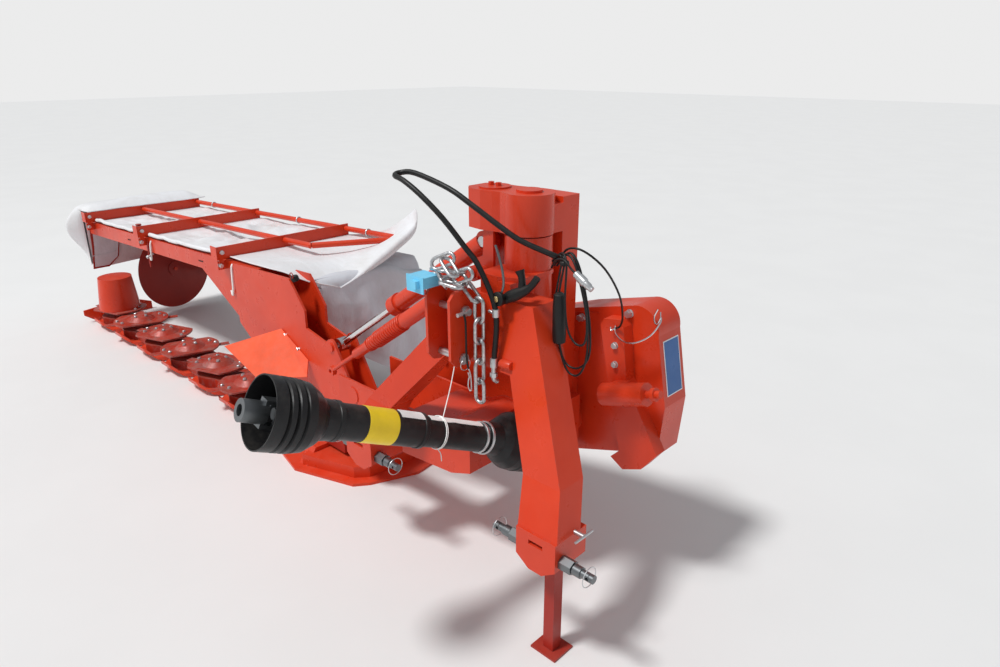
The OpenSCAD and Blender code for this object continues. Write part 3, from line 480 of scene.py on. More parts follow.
class Shape:
    """One piece's mesh, built up in hitch metres and laid in the model's frame."""

    def __init__(self, name: str, body: str) -> None:
        """Start an empty piece.

        Args:
            name: the piece's name.
            body: the moving body that it rides on.
        """
        self.name = name
        self.body = body
        self.bm = bmesh.new()

    def faces(self, points: Path, faces: Iterable[Sequence[int]]) -> None:
        """Add vertices and the faces that join them."""
        verts = [self.bm.verts.new(hitch(*p)) for p in points]
        for face in faces:
            self.bm.faces.new([verts[i] for i in face])

    def rings(self, rings: Sequence[Path], closed: bool = False) -> None:
        """Skin a row of rings, with caps where it isn't closed."""
        n = len(rings[0])
        faces = []
        last = len(rings) if closed else len(rings) - 1
        for i in range(last):
            a, b = i * n, (i + 1) % len(rings) * n
            faces += [(a + k, a + (k + 1) % n, b + (k + 1) % n, b + k) for k in range(n)]
        if not closed:
            end = len(rings) * n
            faces += [tuple(range(n - 1, -1, -1)), tuple(range(end - n, end))]
        self.faces([p for ring in rings for p in ring], faces)

    def tube(self, points: Path, radius: float | Sequence[float], sides: int = 12,
             closed: bool = False) -> None:
        """Sweep a round section along a path without twist.

        Args:
            points: the path.
            radius: one radius, or one for each point.
            sides: corners of the section.
            closed: whether the path's end joins its start.
        """
        path = [Vector(p) for p in points]
        radii = [radius] * len(path) if isinstance(radius, (int, float)) else radius
        rings, side = [], None
        for i, point in enumerate(path):
            if closed:
                along = path[(i + 1) % len(path)] - path[i - 1]
            else:
                along = path[min(i + 1, len(path) - 1)] - path[max(i - 1, 0)]
            along.normalize()
            if side is None:
                side = along.orthogonal()
            side = (side - along * side.dot(along)).normalized()
            other = along.cross(side)
            rings.append([point + (side * cos(a) + other * sin(a)) * radii[i]
                          for a in angles(sides)])
        self.rings(rings, closed)

    def bend(self, points: Path, steps: int, radius: float | Sequence[float],
             sides: int = 8) -> None:
        """Sweep a round section along a smooth curve through points."""
        self.tube(smooth_path(points, steps), radius, sides)

    def loop(self, at: Point, start: Point, quarter: Point, wire: float, count: int = 24,
             sides: int = 8) -> None:
        """Bend a wire to a closed loop.

        Args:
            at: the loop's middle.
            start: from the middle to the loop's start.
            quarter: from the middle to the place a quarter turn on.
            wire: the wire's radius.
            count: points round the loop.
            sides: corners of the wire's section.
        """
        u, w = Vector(start), Vector(quarter)
        self.tube([Vector(at) + u * cos(a) + w * sin(a) for a in angles(count)], wire,
                  sides, closed=True)

    def box(self, xs: Point, ys: Point, zs: Point) -> None:
        """Add a block between two values along each axis."""
        (x0, x1), (y0, y1) = xs, ys
        self.rings([[(x0, y0, z), (x1, y0, z), (x1, y1, z), (x0, y1, z)] for z in zs])

    def lathe(self, profile: Path, at: Point, axis: Point, sides: int = 32,
              closed: bool = False) -> None:
        """Turn a profile of (radius, height) pairs about an axis."""
        foot, up = Vector(at), Vector(axis).normalized()
        side = up.orthogonal().normalized()
        if sides == 6 and abs(up.z) < 0.9:
            side = (Vector((0, 0, 1)) - up * up.z).normalized()
        other = up.cross(side)
        self.rings([[foot + up * h + (side * cos(a) + other * sin(a)) * r
                     for a in angles(sides)] for r, h in profile], closed)

    def hoop(self, inner: float, profile: Path, at: Point, axis: Point) -> None:
        """Turn a hollow ring with an inner radius and a profile of (radius, height) pairs."""
        first, last = profile[0][1], profile[-1][1]
        self.lathe([(inner, first), *profile, (inner, last)], at, axis, 48, closed=True)

    def bolt(self, at: Point, axis: Point, across: float, proud: float = 0.65) -> None:
        """Add a hexagon head on its washer, with the end of its thread."""
        r = across / 2
        self.lathe([(r * 1.25, 0), (r * 1.25, r * 0.18)], at, axis, 24)
        foot = Vector(at) + Vector(axis).normalized() * r * 0.18
        self.lathe([(r * 1.15, 0), (r * 1.15, r * 0.9), (r * 1.0, r * proud * 1.6)], foot, axis, 6)

    def plate(self, outline: Path, thick: Point) -> None:
        """Extrude a flat outline of points by a vector."""
        shift = Vector(thick)
        self.rings([[Vector(p) for p in outline], [Vector(p) + shift for p in outline]])

    def skin(self, grid: Sequence[Path], thick: float) -> None:
        """Make a thin closed sheet from a grid of points.

        Args:
            grid: rows of points.
            thick: the sheet's thickness, laid to both sides.
        """
        rows, cols = len(grid), len(grid[0])
        at = [[Vector(p) for p in row] for row in grid]
        sheet = []
        for sign in (1, -1):
            for i in range(rows):
                for j in range(cols):
                    du = at[min(i + 1, rows - 1)][j] - at[max(i - 1, 0)][j]
                    dv = at[i][min(j + 1, cols - 1)] - at[i][max(j - 1, 0)]
                    sheet.append(at[i][j] + du.cross(dv).normalized() * thick / 2 * sign)
        back = rows * cols
        faces = []
        for i in range(rows - 1):
            for j in range(cols - 1):
                a, b = i * cols + j, (i + 1) * cols + j
                faces += [(a, b, b + 1, a + 1), (back + a, back + a + 1, back + b + 1, back + b)]
        rim = ([*range(cols)] + [i * cols + cols - 1 for i in range(1, rows)]
               + [(rows - 1) * cols + j for j in range(cols - 2, -1, -1)]
               + [i * cols for i in range(rows - 2, 0, -1)])
        for k, a in enumerate(rim):
            b = rim[(k + 1) % len(rim)]
            faces.append((a, b, back + b, back + a))
        self.faces(sheet, faces)

    def done(self, finish: Finish, sharp_deg: float = 40.0) -> bpy.types.Object:
        """Close the piece, give it its finish and put it on its body.

        Args:
            finish: the finish.
            sharp_deg: edges that bend more than this stay sharp.

        Returns:
            The piece.
        """
        bmesh.ops.recalc_face_normals(self.bm, faces=self.bm.faces)
        mesh = bpy.data.meshes.new(self.name)
        self.bm.to_mesh(mesh)
        self.bm.free()
        mesh.polygons.foreach_set("use_smooth", [True] * len(mesh.polygons))
        mesh.set_sharp_from_angle(angle=radians(sharp_deg))
        mesh.materials.append(finish.material())
        piece = placed(self.name, mesh)
        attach(piece, self.body)
        LOG.info("%s on %s, %s", self.name, self.body, finish.value.name)
        return piece


def turned(name: str, body: str, profile: Path, at: Point, axis: Point, sides: int,
           finish: Finish) -> bpy.types.Object:
    """Make a piece of one turned form.

    Args:
        name: the piece's name.
        body: the moving body that it rides on.
        profile: pairs of a radius and a height.
        at: the place where the height is 0.
        axis: the direction in which the height grows.
        sides: corners of the section.
        finish: the finish.

    Returns:
        The piece.
    """
    shape = Shape(name, body)
    shape.lathe(profile, at, axis, sides)
    return shape.done(finish)


def smooth_path(points: Path, steps: int) -> list[Vector]:
    """Draw a smooth curve through points.

    Args:
        points: points that the curve passes.
        steps: pieces between one point and the next.

    Returns:
        The curve's points.
    """
    p = [Vector(q) for q in points]
    p = [2 * p[0] - p[1], *p, 2 * p[-1] - p[-2]]
    out = []
    for i in range(1, len(p) - 2):
        for k in range(steps):
            t = k / steps
            out.append(0.5 * (2 * p[i] + (p[i + 1] - p[i - 1]) * t
                              + (2 * p[i - 1] - 5 * p[i] + 4 * p[i + 1] - p[i + 2]) * t * t
                              + (3 * p[i] - p[i - 1] - 3 * p[i + 1] + p[i + 2]) * t ** 3))
    return out + [p[-2]]


def length_of(points: Sequence[Vector]) -> float:
    """Return a path's length."""
    return sum((b - a).length for a, b in zip(points, points[1:]))


def ripple(x: float, y: float, z: float, scale: float, seed: float = 0.0) -> float:
    """Return smooth noise from about -1 to 1."""
    return noise.noise(Vector((x * scale + seed, y * scale, z * scale)))


def ease(t: float) -> float:
    """Ease from 0 to 1."""
    t = min(max(t, 0.0), 1.0)
    return t * t * (3 - 2 * t)


def arch(t: float) -> float:
    """Rise from 0 to 1 at the middle and fall back to 0."""
    return sin(pi * min(max(t, 0.0), 1.0))


def beam_top(x: float) -> float:
    """Return the height of the cover beam's top at x."""
    outer_x, outer_z, length, rise = 4.300, 0.800, 2.880, 0.132
    return outer_z + (outer_x - x) / length * rise


def model_path(path: Iterable[Point]) -> list[Point]:
    """Move a path measured round the hitch into the model's frame, as plain numbers."""
    return [tuple(hitch(*p)) for p in path]


@dataclass
class RoofCanvas:
    """Canvas of the folding front cover, with the loose flap at its inner end."""

    front_y: float = -0.262
    rear_y: float = -1.070
    outer_x: float = 4.315
    tubes_y: tuple[float, ...] = (-0.612, -1.042)
    front_corner: Point = (1.385, -0.508, 0.834)
    rear_corner: Point = (1.425, -1.076, 1.165)
    thick: float = 0.0022
    rear_lift: float = 0.0001
    rows: int = 180
    taut_rows: int = 129
    cols: int = 56

    def taut(self, x: float, v: float) -> Vector:
        """Return a point of the canvas where it is held by its frame."""
        y = self.front_y + (self.rear_y - self.front_y) * v
        top = beam_top(x)
        free = ease(min(abs(x - a) for a in COVER_ARMS) / 0.16)
        slack = arch(v)
        wave = (ripple(x, y * 0.6, 0.0, 5.5) * 0.050 + ripple(x, y, 0.0, 12.0, 3.0) * 0.016
                + abs(ripple(x, y, 0.0, 8.0, 6.0)) * 0.020)
        z = top + 0.011 + free * (wave * (0.25 + 0.75 * slack) - 0.010 * slack)
        near = min(abs(y - tube) for tube in self.tubes_y)
        z = min(z, top + 0.034 + 0.040 * ease((near - 0.02) / 0.10))
        z = max(z, top - 0.026 if -1.0 < y < -0.40 else top + 0.004)
        hem = ease((0.06 - v) / 0.06)
        return Vector((x, y, z + hem * 0.010))

    @staticmethod
    def along(marks: Sequence[tuple[float, Point]], t: float) -> Vector:
        """Return the point at t on a curve through marks of a place from 0 to 1 and a point."""
        last = len(marks) - 1
        i = next((i for i in range(last) if t <= marks[i + 1][0]), last - 1)
        (t0, a), (t1, b) = marks[i], marks[i + 1]
        before, after = Vector(marks[max(i - 1, 0)][1]), Vector(marks[min(i + 2, last)][1])
        a, b, u = Vector(a), Vector(b), (t - t0) / (t1 - t0)
        return 0.5 * (2 * a + (b - before) * u + (2 * before - 5 * a + 4 * b - after) * u * u
                      + (3 * a - before - 3 * b + after) * u ** 3)

    def flap(self, s: float, v: float) -> Vector:
        """Return a point between the last arm (s = 0) and the free inner edge (s = 1)."""
        arm = COVER_ARMS[-1]
        front = self.along(((0.0, self.taut(arm, 0.0)), (0.40, (1.800, -0.262, 0.931)),
                            (0.68, (1.560, -0.280, 0.934)), (0.86, (1.420, -0.352, 0.893)),
                            (1.0, self.front_corner)), s)
        rear = self.along(((0.0, self.taut(arm, 1.0)), (0.30, (1.880, -1.070, 0.950)),
                           (0.60, (1.690, -1.078, 1.010)), (0.85, (1.520, -1.082, 1.100)),
                           (1.0, self.rear_corner)), s)
        free = self.along(((0.0, self.front_corner), (0.22, (1.400, -0.645, 0.876)),
                           (0.45, (1.405, -0.780, 0.940)), (0.68, (1.400, -0.920, 1.010)),
                           (0.90, (1.405, -1.045, 1.080)), (1.0, self.rear_corner)), v)
        low = self.taut(arm, v).lerp(free, s)
        flat_x = front.x + (rear.x - front.x) * v
        flat_z = beam_top(front.x) + 0.012
        dip = 0.020 * arch(s) * arch(v)
        z_mid = flat_z + (front.z - flat_z) * (1 - v) ** 1.5 - dip
        sag = ease((s - 0.35) / 0.65) ** 2.2
        point = Vector((low.x + (flat_x - low.x) * (1 - s) * 0.5, low.y,
                        z_mid + (free.z - z_mid) * sag))
        point = point.lerp(front, ease((0.25 - v) / 0.25))
        # the rear edge stands up behind the tube, the rest lies below it
        point = point.lerp(rear, ease((v - 0.90) / 0.10))
        point.z += 0.006 * ripple(point.x, point.y, 0.0, 7.0, 5.0) * arch(s)
        return point

    def point(self, i: int, v: float) -> Vector:
        """Return the point of a row, counted from the outer end, at a place front to rear."""
        if i <= self.taut_rows:
            return self.taut(self.outer_x + (COVER_ARMS[-1] - self.outer_x) * i / self.taut_rows, v)
        return self.flap((i - self.taut_rows) / (self.rows - self.taut_rows), v)

    def build(self) -> None:
        """Make the canvas with its hem rods and its rolled inner edge."""
        grid = [[self.point(i, j / self.cols) for j in range(self.cols + 1)]
                for i in range(self.rows + 1)]
        for row in grid:
            row[-1].z += self.rear_lift
        edge = grid[-1]
        for drop, inward in ((0.012, 0.010), (0.026, 0.012), (0.040, 0.006), (0.050, -0.006)):
            grid.append([p + Vector((-inward, 0, -drop * ease((j / self.cols - 0.05) / 0.5)))
                         for j, p in enumerate(edge)])
        shape = Shape("roof_canvas", "front_cover")
        shape.skin(grid, self.thick)
        roof = shape.done(Finish.CANVAS, CLOTH_SHARP_DEG)
        hem = Shape("roof_hem", "front_cover")
        for a, b in ((4.14, 3.215), (3.165, 2.105)):
            hem.tube([self.taut(a + (b - a) * k / 24, 0.0) + Vector((0, 0.004, 0.002))
                      for k in range(25)], 0.0125, 14)
        hem.tube([row[0] for row in grid[self.taut_rows + 2:self.rows]], 0.0042, 8)
        hem.tube(grid[-1], 0.0036, 8)
        hem_piece = hem.done(Finish.CANVAS, CLOTH_SHARP_DEG)
        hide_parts("front_canvas")


@dataclass
class RearApron:
    """Canvas under the rear cover: roof, skirt and the apron at the inner end."""

    outer_x: float = 4.292
    inner_x: float = 1.435
    front_y: float = -0.372
    panel_y: float = -0.400
    skirt_y: float = -1.103
    foot_z: float = 0.235
    seam_z: float = 0.47
    corner: float = 0.035
    panel_corner: float = 0.052
    depth: float = 0.055
    thick: float = 0.0024

    def crown(self, x: float) -> float:
        """Return the height of the roof part at x."""
        return beam_top(x) - 0.043

    def droop(self, x: float, y: float) -> float:
        """Return how far the roof's free inner corner sinks at a place."""
        return 0.110 * ease((1.475 - x) / 0.06) * ease((-y - 0.80) / 0.28)

    def fold(self, x: float, z: float) -> float:
        """Return how far the skirt stands out at a place."""
        fall = ease((self.crown(x) - z) / 0.35)
        wave = ripple(x, 0.0, z * 0.25, 4.2, 1.0) + 0.35 * ripple(x, 0.0, z, 11.0, 2.0)
        return min(fall * self.depth * wave, self.depth)

    def roof_row(self, x: float) -> list[Vector]:
        """Return a row of points from the roof's front edge to the skirt's foot."""
        edge_y = self.skirt_y + self.corner
        row = []
        for j in range(13):
            y = self.front_y + (edge_y - self.front_y) * j / 12
            z = self.crown(x) - self.droop(x, y) - 0.004 * arch(j / 12)
            row.append(Vector((x, y, z + 0.003 * ripple(x, y, 0.0, 8.0))))
        top = self.crown(x) - self.droop(x, -1.1) - self.corner
        for j in range(1, 6):
            a = pi / 2 * j / 5
            row.append(Vector((x, edge_y - self.corner * sin(a),
                               top + self.corner * cos(a))))
        for j in range(1, 27):
            z = top + (self.foot_z - top) * j / 26
            row.append(Vector((x, self.skirt_y - 0.004 + self.fold(x, z), z)))
        return row

    def panel_row(self, t: float) -> list[Vector]:
        """Return a row of the apron that hangs from the roof's edge and bellies inwards."""
        y = self.panel_y + (self.skirt_y - self.panel_y) * t
        top = self.crown(self.inner_x) - self.droop(self.inner_x, y) - 0.002
        foot = 0.50 - 0.26 * ease(t / 0.75)
        bend, row = self.panel_corner, []
        for j in range(7):
            a = pi / 2 * j / 7
            row.append(Vector((self.inner_x + 0.004 - bend * sin(a), y,
                               top - bend + bend * cos(a))))
        for j in range(24):
            s = j / 23
            z = top - bend + (foot - top + bend) * s
            belly = 0.048 * arch(s * 1.1) * arch(t * 1.15)
            x = self.inner_x - 0.048 - belly - 0.020 * s * (1 + ripple(y, 0.0, z, 5.0, 7.0))
            crease = (0.018 * ripple(y * 1.4, z * 0.5, 0.0, 7.0, 4.0)
                      + 0.006 * ripple(y, z, 0.0, 17.0, 1.0))
            row.append(Vector((x + crease * ease(s * 3), y - 0.03 * s * t, z)))
        return row

    def build(self) -> None:
        """Make the canvas and its seam."""
        skirt = Shape("rear_apron", "cutterbar")
        length = self.inner_x - self.outer_x
        skirt.skin([self.roof_row(self.outer_x + length * i / 140) for i in range(141)], self.thick)
        skirt.skin([self.panel_row(i / 48) for i in range(49)], self.thick)
        # the canvas under the rear cover takes the cover canvas with painted shade
        apron = skirt.done(Finish.SHADED_CANVAS, CLOTH_SHARP_DEG)
        seam = Shape("apron_seam", "cutterbar")
        places = [4.28 + (self.inner_x - 4.28) * i / 89 for i in range(90)]
        seam.tube([(x, self.skirt_y + 0.0005 + self.fold(x, self.seam_z), self.seam_z)
                   for x in places], 0.0035, 6)
        seam_piece = seam.done(Finish.STITCH, CLOTH_SHARP_DEG)
        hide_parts("rear_canvas")


@dataclass
class OuterDrape:
    """Canvas that goes over the outer arm and puffs out before and beside the outer end."""

    plane_x: float = 4.336
    inner_x: float = 4.163
    front_y: float = -0.214
    rear_y: float = -1.112
    out: float = 0.115
    forward: float = 0.165
    shoulder: float = 0.30
    hump: float = 0.046
    hump_turn: float = 0.72
    thick: float = 0.0024

    def point(self, s: float, q: float) -> Vector:
        """Return a point, s from front to rear and q from the arm to the foot."""
        body = ease(s / 0.15) ** 0.6 * ease((1.0 - s) / 0.14) ** 0.5
        ahead = arch(s / 0.16)
        y = self.front_y + (self.rear_y - self.front_y) * s
        crest = beam_top(COVER_ARMS[0]) + 0.088
        if q < self.shoulder:
            u = q / self.shoulder
            x = self.inner_x + (self.plane_x - self.inner_x) * u
            z = crest + body * self.hump * arch(u * self.hump_turn) - 0.012 * u * (1 - body)
            reach, outward = 0.45 * u * u, 0.50 * u * u
        else:
            u = (q - self.shoulder) / (1 - self.shoulder)
            z = crest + body * self.hump * arch(self.hump_turn) - 0.012 * (1 - body)
            z += (0.465 + 0.035 * arch(s) - z) * u
            x = self.plane_x
            outward = arch(0.165 + 0.835 * u) ** 0.8
            if u < 0.35:
                reach = 0.45 + 0.55 * arch(0.5 * u / 0.35)
            else:
                reach = 1.0 - 0.75 * ease((u - 0.35) / 0.65)
        fold = 0.014 * ripple(y, z, 0.0, 4.5, 9.0) + 0.006 * ripple(y, z, 0.0, 12.0, 2.0)
        x -= 0.018 * (1 - ease(s / 0.05)) * (q >= self.shoulder)
        return Vector((x + body * (self.out + fold) * outward, y + self.forward * ahead * reach,
                       z + body * 0.010 * ripple(x, y, 0.0, 5.0, 4.0)))

    def build(self) -> None:
        """Make the canvas and its hem."""
        shape = Shape("outer_drape", "front_cover")
        grid = grid_of(84, 48, lambda s, q: self.point(s ** 1.5, q))
        shape.skin(grid, self.thick)
        drape = shape.done(Finish.CANVAS, CLOTH_SHARP_DEG)
        hem = Shape("drape_hem", "front_cover")
        hem.tube([row[-1] for row in grid], 0.0040, 8)
        hem.tube([row[0] + Vector((0, 0, 0.001)) for row in grid], 0.0036, 8)
        hem_piece = hem.done(Finish.CANVAS, CLOTH_SHARP_DEG)


@dataclass
class SideCanvas:
    """Canvas that hangs close beside the outer end frame."""

    face_x: float = 4.3105
    front_y: float = -0.226
    rear_y: float = -1.115
    belly: float = 0.006
    corner: float = 0.045
    corner_share: float = 0.16
    lining_x: float = 4.2992
    thick: float = 0.0024

    def point(self, t: float, s: float) -> Vector:
        """Return a point, t from front to rear and s from the top to the foot."""
        y = self.front_y + (self.rear_y - self.front_y) * t
        top = beam_top(4.3) + 0.016 - 0.035 * t
        foot = 0.425 + 0.02 * arch(t) - 0.13 * ease((t - 0.45) / 0.55)
        if s < self.corner_share:
            a = pi / 2 * s / self.corner_share
            return Vector((self.face_x + 0.006 * sin(a), y,
                           top - self.corner + self.corner * cos(a)))
        q = (s - self.corner_share) / (1 - self.corner_share)
        z = top - self.corner + (foot - top + self.corner) * q
        round_off = arch(q * 0.9 + 0.08)
        sides = arch(t * 1.02 + 0.10) ** 0.6
        x = self.face_x + 0.006 + self.belly * round_off * sides
        return Vector((x + 0.004 * ripple(y, 0.0, z, 6.0, 9.0) * sides, y, z))

    def build(self) -> None:
        """Make the canvas."""
        shape = Shape("outer_canvas", "cutterbar")
        shape.skin(grid_of(56, 36, self.point), self.thick)
        side = shape.done(Finish.CANVAS, CLOTH_SHARP_DEG)
        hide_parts("side_canvas")
        self.lining()

    def lining(self) -> bpy.types.Object:
        """Make the canvas inside the outer end frame, with its seam."""
        lining = Shape("side_lining", "cutterbar")
        outline = ((-0.264, 0.786), (-0.500, 0.776), (-1.048, 0.750), (-1.048, 0.716),
                   (-0.448, 0.700), (-0.404, 0.500), (-0.330, 0.444), (-0.228, 0.444),
                   (-0.250, 0.600))
        lining.plate([(self.lining_x, y, z) for y, z in outline], (-0.0016, 0, 0))
        seam = ((-0.226, 0.532), (-0.300, 0.536), (-0.405, 0.540))
        lining.tube([(self.lining_x - 0.002, y, z) for y, z in seam], 0.0022, 8)
        # the lining takes the cover canvas with painted shade
        return lining.done(Finish.SHADED_CANVAS, CLOTH_SHARP_DEG)


@dataclass
class CoverTrim:
    """Straps, latch, clamps and bolts of the cover, and the painted shade of its beam's slits."""

    beam_face_y: float = -0.2445
    bolt_y: float = -0.212
    front_tube_y: float = -0.612
    rear_tube_y: float = -1.042
    tube_lift: float = 0.055
    latch_x: float = COVER_ARMS[1]

    def build(self) -> None:
        """Make the cover's small parts."""
        self.brackets()
        self.straps()
        self.bolts()
        self.tube_ends()
        self.latch()
        self.beam_end()
        self.slits()

    def brackets(self) -> None:
        """Make the plates that hold the arms."""
        brackets = Shape("arm_brackets", "front_cover")
        for x in COVER_ARMS:
            heights = beam_top(x) + 0.012, beam_top(x) + 0.084
            brackets.box((x - 0.004, x + 0.064), (-0.1925, -0.1875), heights)
            brackets.box((x - 0.004, x + 0.004), (-0.1990, -0.1920), heights)
        brackets.done(Finish.RED)

    def straps(self) -> None:
        """Make the straps that hang in front of the beam."""
        straps = Shape("cover_straps", "cutterbar")
        for x, drop in zip(COVER_ARMS[1:], (0.135, 0.185)):
            top, face = beam_top(x) - 0.004, self.beam_face_y
            straps.bend([(x - 0.055, face - 0.004, top - 0.006),
                         (x - 0.056, face + 0.006, top - 0.03),
                         (x - 0.052, face + 0.010, top - drop * 0.75),
                         (x - 0.040, face + 0.011, top - drop),
                         (x - 0.026, face + 0.009, top - drop * 0.87)], 6, 0.0062, 10)
        straps.done(Finish.WHITE)

    def bolts(self) -> None:
        """Make the bolts through the arms."""
        bolts = Shape("cover_bolts", "front_cover")
        for x in COVER_ARMS:
            z = beam_top(x)
            for dy, dz in ((-0.006, 0.052), (0.008, -0.020)):
                for way in (-1, 1):
                    bolts.bolt((x + way * 0.006, self.bolt_y + dy, z + dz), (way, 0, 0), 0.020)
            bolts.bolt((x - 0.004, self.front_tube_y, z + self.tube_lift), (-1, 0, 0), 0.017)
        bolts.done(Finish.ZINC)

    def tube_ends(self) -> None:
        """Make the rear tube's clamps and plug."""
        clamps = Shape("tube_clamps", "front_cover")
        for x in (3.86, 2.62, 1.84):
            clamps.loop((x, self.rear_tube_y, beam_top(x) + self.tube_lift), (0, 0.0195, 0),
                        (0, 0, 0.0195), 0.0045, 20)
        clamps.done(Finish.ZINC)
        turned("tube_plugs", "front_cover", [(0.0155, 0), (0.0155, 0.004), (0.009, 0.007)],
               (1.4795, self.rear_tube_y, beam_top(1.48) + self.tube_lift), (-1, 0, 0.046), 20,
               Finish.GREY)

    def latch(self) -> None:
        """Make the cover's latch with its knob and its bolt."""
        x, z = self.latch_x, beam_top(self.latch_x)
        knob, away = Shape("latch_knob", "cutterbar"), x + 0.086
        knob.tube([(away, -0.240, z - 0.010), (away, -0.236, z + 0.055)], 0.007, 12)
        knob.lathe([(0.012, 0), (0.015, 0.004), (0.015, 0.016), (0.010, 0.020)],
                   (away, -0.236, z + 0.052), (0, 0, 1), 20)
        for lift in (0.074, 0.086):
            knob.lathe([(0.017, 0), (0.019, 0.002), (0.019, 0.006), (0.017, 0.008)],
                       (away, -0.236, z + lift - 0.012), (0, 0, 1), 20)
        knob.bend([(x - 0.0125, -0.240, z - 0.020), (x - 0.014, -0.236, z - 0.080),
                   (x - 0.018, -0.232, z - 0.140), (x - 0.026, -0.230, z - 0.190)], 4, 0.0060, 10)
        knob.done(Finish.DEEP_RED)
        pivot, end = Shape("latch_bolt_small", "cutterbar"), (x - 0.050, -0.214, z - 0.112)
        pivot.tube([(x - 0.050, -0.250, z - 0.098), end], 0.006, 10)
        pivot.bolt(end, (0, 0.036, -0.014), 0.018)
        pivot.done(Finish.ZINC)

    def beam_end(self) -> None:
        """Make the plug in the beam's inner end, with its pull loop."""
        turned("beam_plug", "cutterbar",
               [(0.014, -0.012), (0.020, -0.008), (0.020, 0.010), (0.016, 0.016)],
               (1.402, -0.262, 0.930), (0.1, 0.3, 0.95), 20, Finish.GUARD)
        ring = Shape("plug_loop", "cutterbar")
        ring.loop((1.402, -0.244, 0.950), (0.014, 0, 0), (0, 0, 0.014), 0.0028, 20)
        ring.done(Finish.DEEP_RED)

    def slits(self) -> None:
        """Make dark plates on the beam's front face as painted shade of its slits."""
        slits, face = Shape("beam_slits", "cutterbar"), -0.2458
        for x, drop, wide in ((2.42, 0.048, 0.060), (2.03, 0.040, 0.050), (1.91, 0.040, 0.040),
                              (3.52, 0.048, 0.050)):
            z, left, right = beam_top(x) - drop, x - wide / 2, x + wide / 2
            slits.plate([(left, face, z - 0.004), (right, face, z - 0.007),
                         (right, face, z + 0.001), (left, face, z + 0.004)], (0, 0.0008, 0))
        # the plates take a near-black red: painted shade inside the slits
        slits.done(Finish.SLIT_SHADE)


@dataclass
class HoseLoop:
    """Pressure hose that leaves the head, arches over and goes back into the column."""

    radius: float = 0.0095
    route: tuple[Point, ...] = (
        (-0.158, -0.0715, 0.975), (-0.158, -0.076, 1.030), (-0.160, -0.082, 1.100),
        (-0.156, -0.084, 1.168), (-0.132, -0.082, 1.236), (-0.082, -0.072, 1.325),
        (-0.040, -0.062, 1.370), (0.040, -0.036, 1.462), (0.128, -0.014, 1.535),
        (0.205, -0.010, 1.572), (0.262, -0.022, 1.580), (0.270, -0.052, 1.586),
        (0.215, -0.072, 1.588), (0.064, -0.086, 1.552), (-0.028, -0.104, 1.506),
        (-0.120, -0.136, 1.446), (-0.190, -0.162, 1.404), (-0.276, -0.205, 1.368),
        (-0.318, -0.240, 1.345))

    def build(self) -> None:
        """Make the hose with its end fitting and its clamp."""
        path = smooth_path(self.route, 4)
        shape = Shape("lift_hose", "headstock")
        shape.tube(path, self.radius, 16)
        hose = shape.done(Finish.RUBBER, ROUND_SHARP_DEG)
        ends = Shape("hose_fittings", "headstock")
        at = Vector(self.route[0])
        ends.lathe([(0.008, -0.030), (0.008, 0), (0.0125, 0.001), (0.0125, 0.030),
                    (0.0108, 0.034)], at, (0, 0, 1), 20)
        ends.lathe([(0.0135, -0.034), (0.0135, -0.020)], at, (0, 0, 1), 6)
        ends.bend([(-0.158, -0.0715, 0.946), (-0.158, -0.073, 0.930), (-0.158, -0.088, 0.918)], 4,
                  0.008, 14)
        clamp = Vector((-0.1562, -0.0840, 1.166))
        ends.lathe([(0.0100, -0.014), (0.0128, -0.013), (0.0128, 0.013), (0.0100, 0.014)], clamp,
                   (0.03, 0, 1), 20)
        ends.tube([clamp + Vector((0.010, 0.004, 0)), clamp + Vector((0.026, 0.006, 0.004))],
                  0.0055, 10)
        ends_piece = ends.done(Finish.ZINC)
        tuple(hitch(*self.route[-1]))
        round(length_of(path), 3)
        model_path(path)


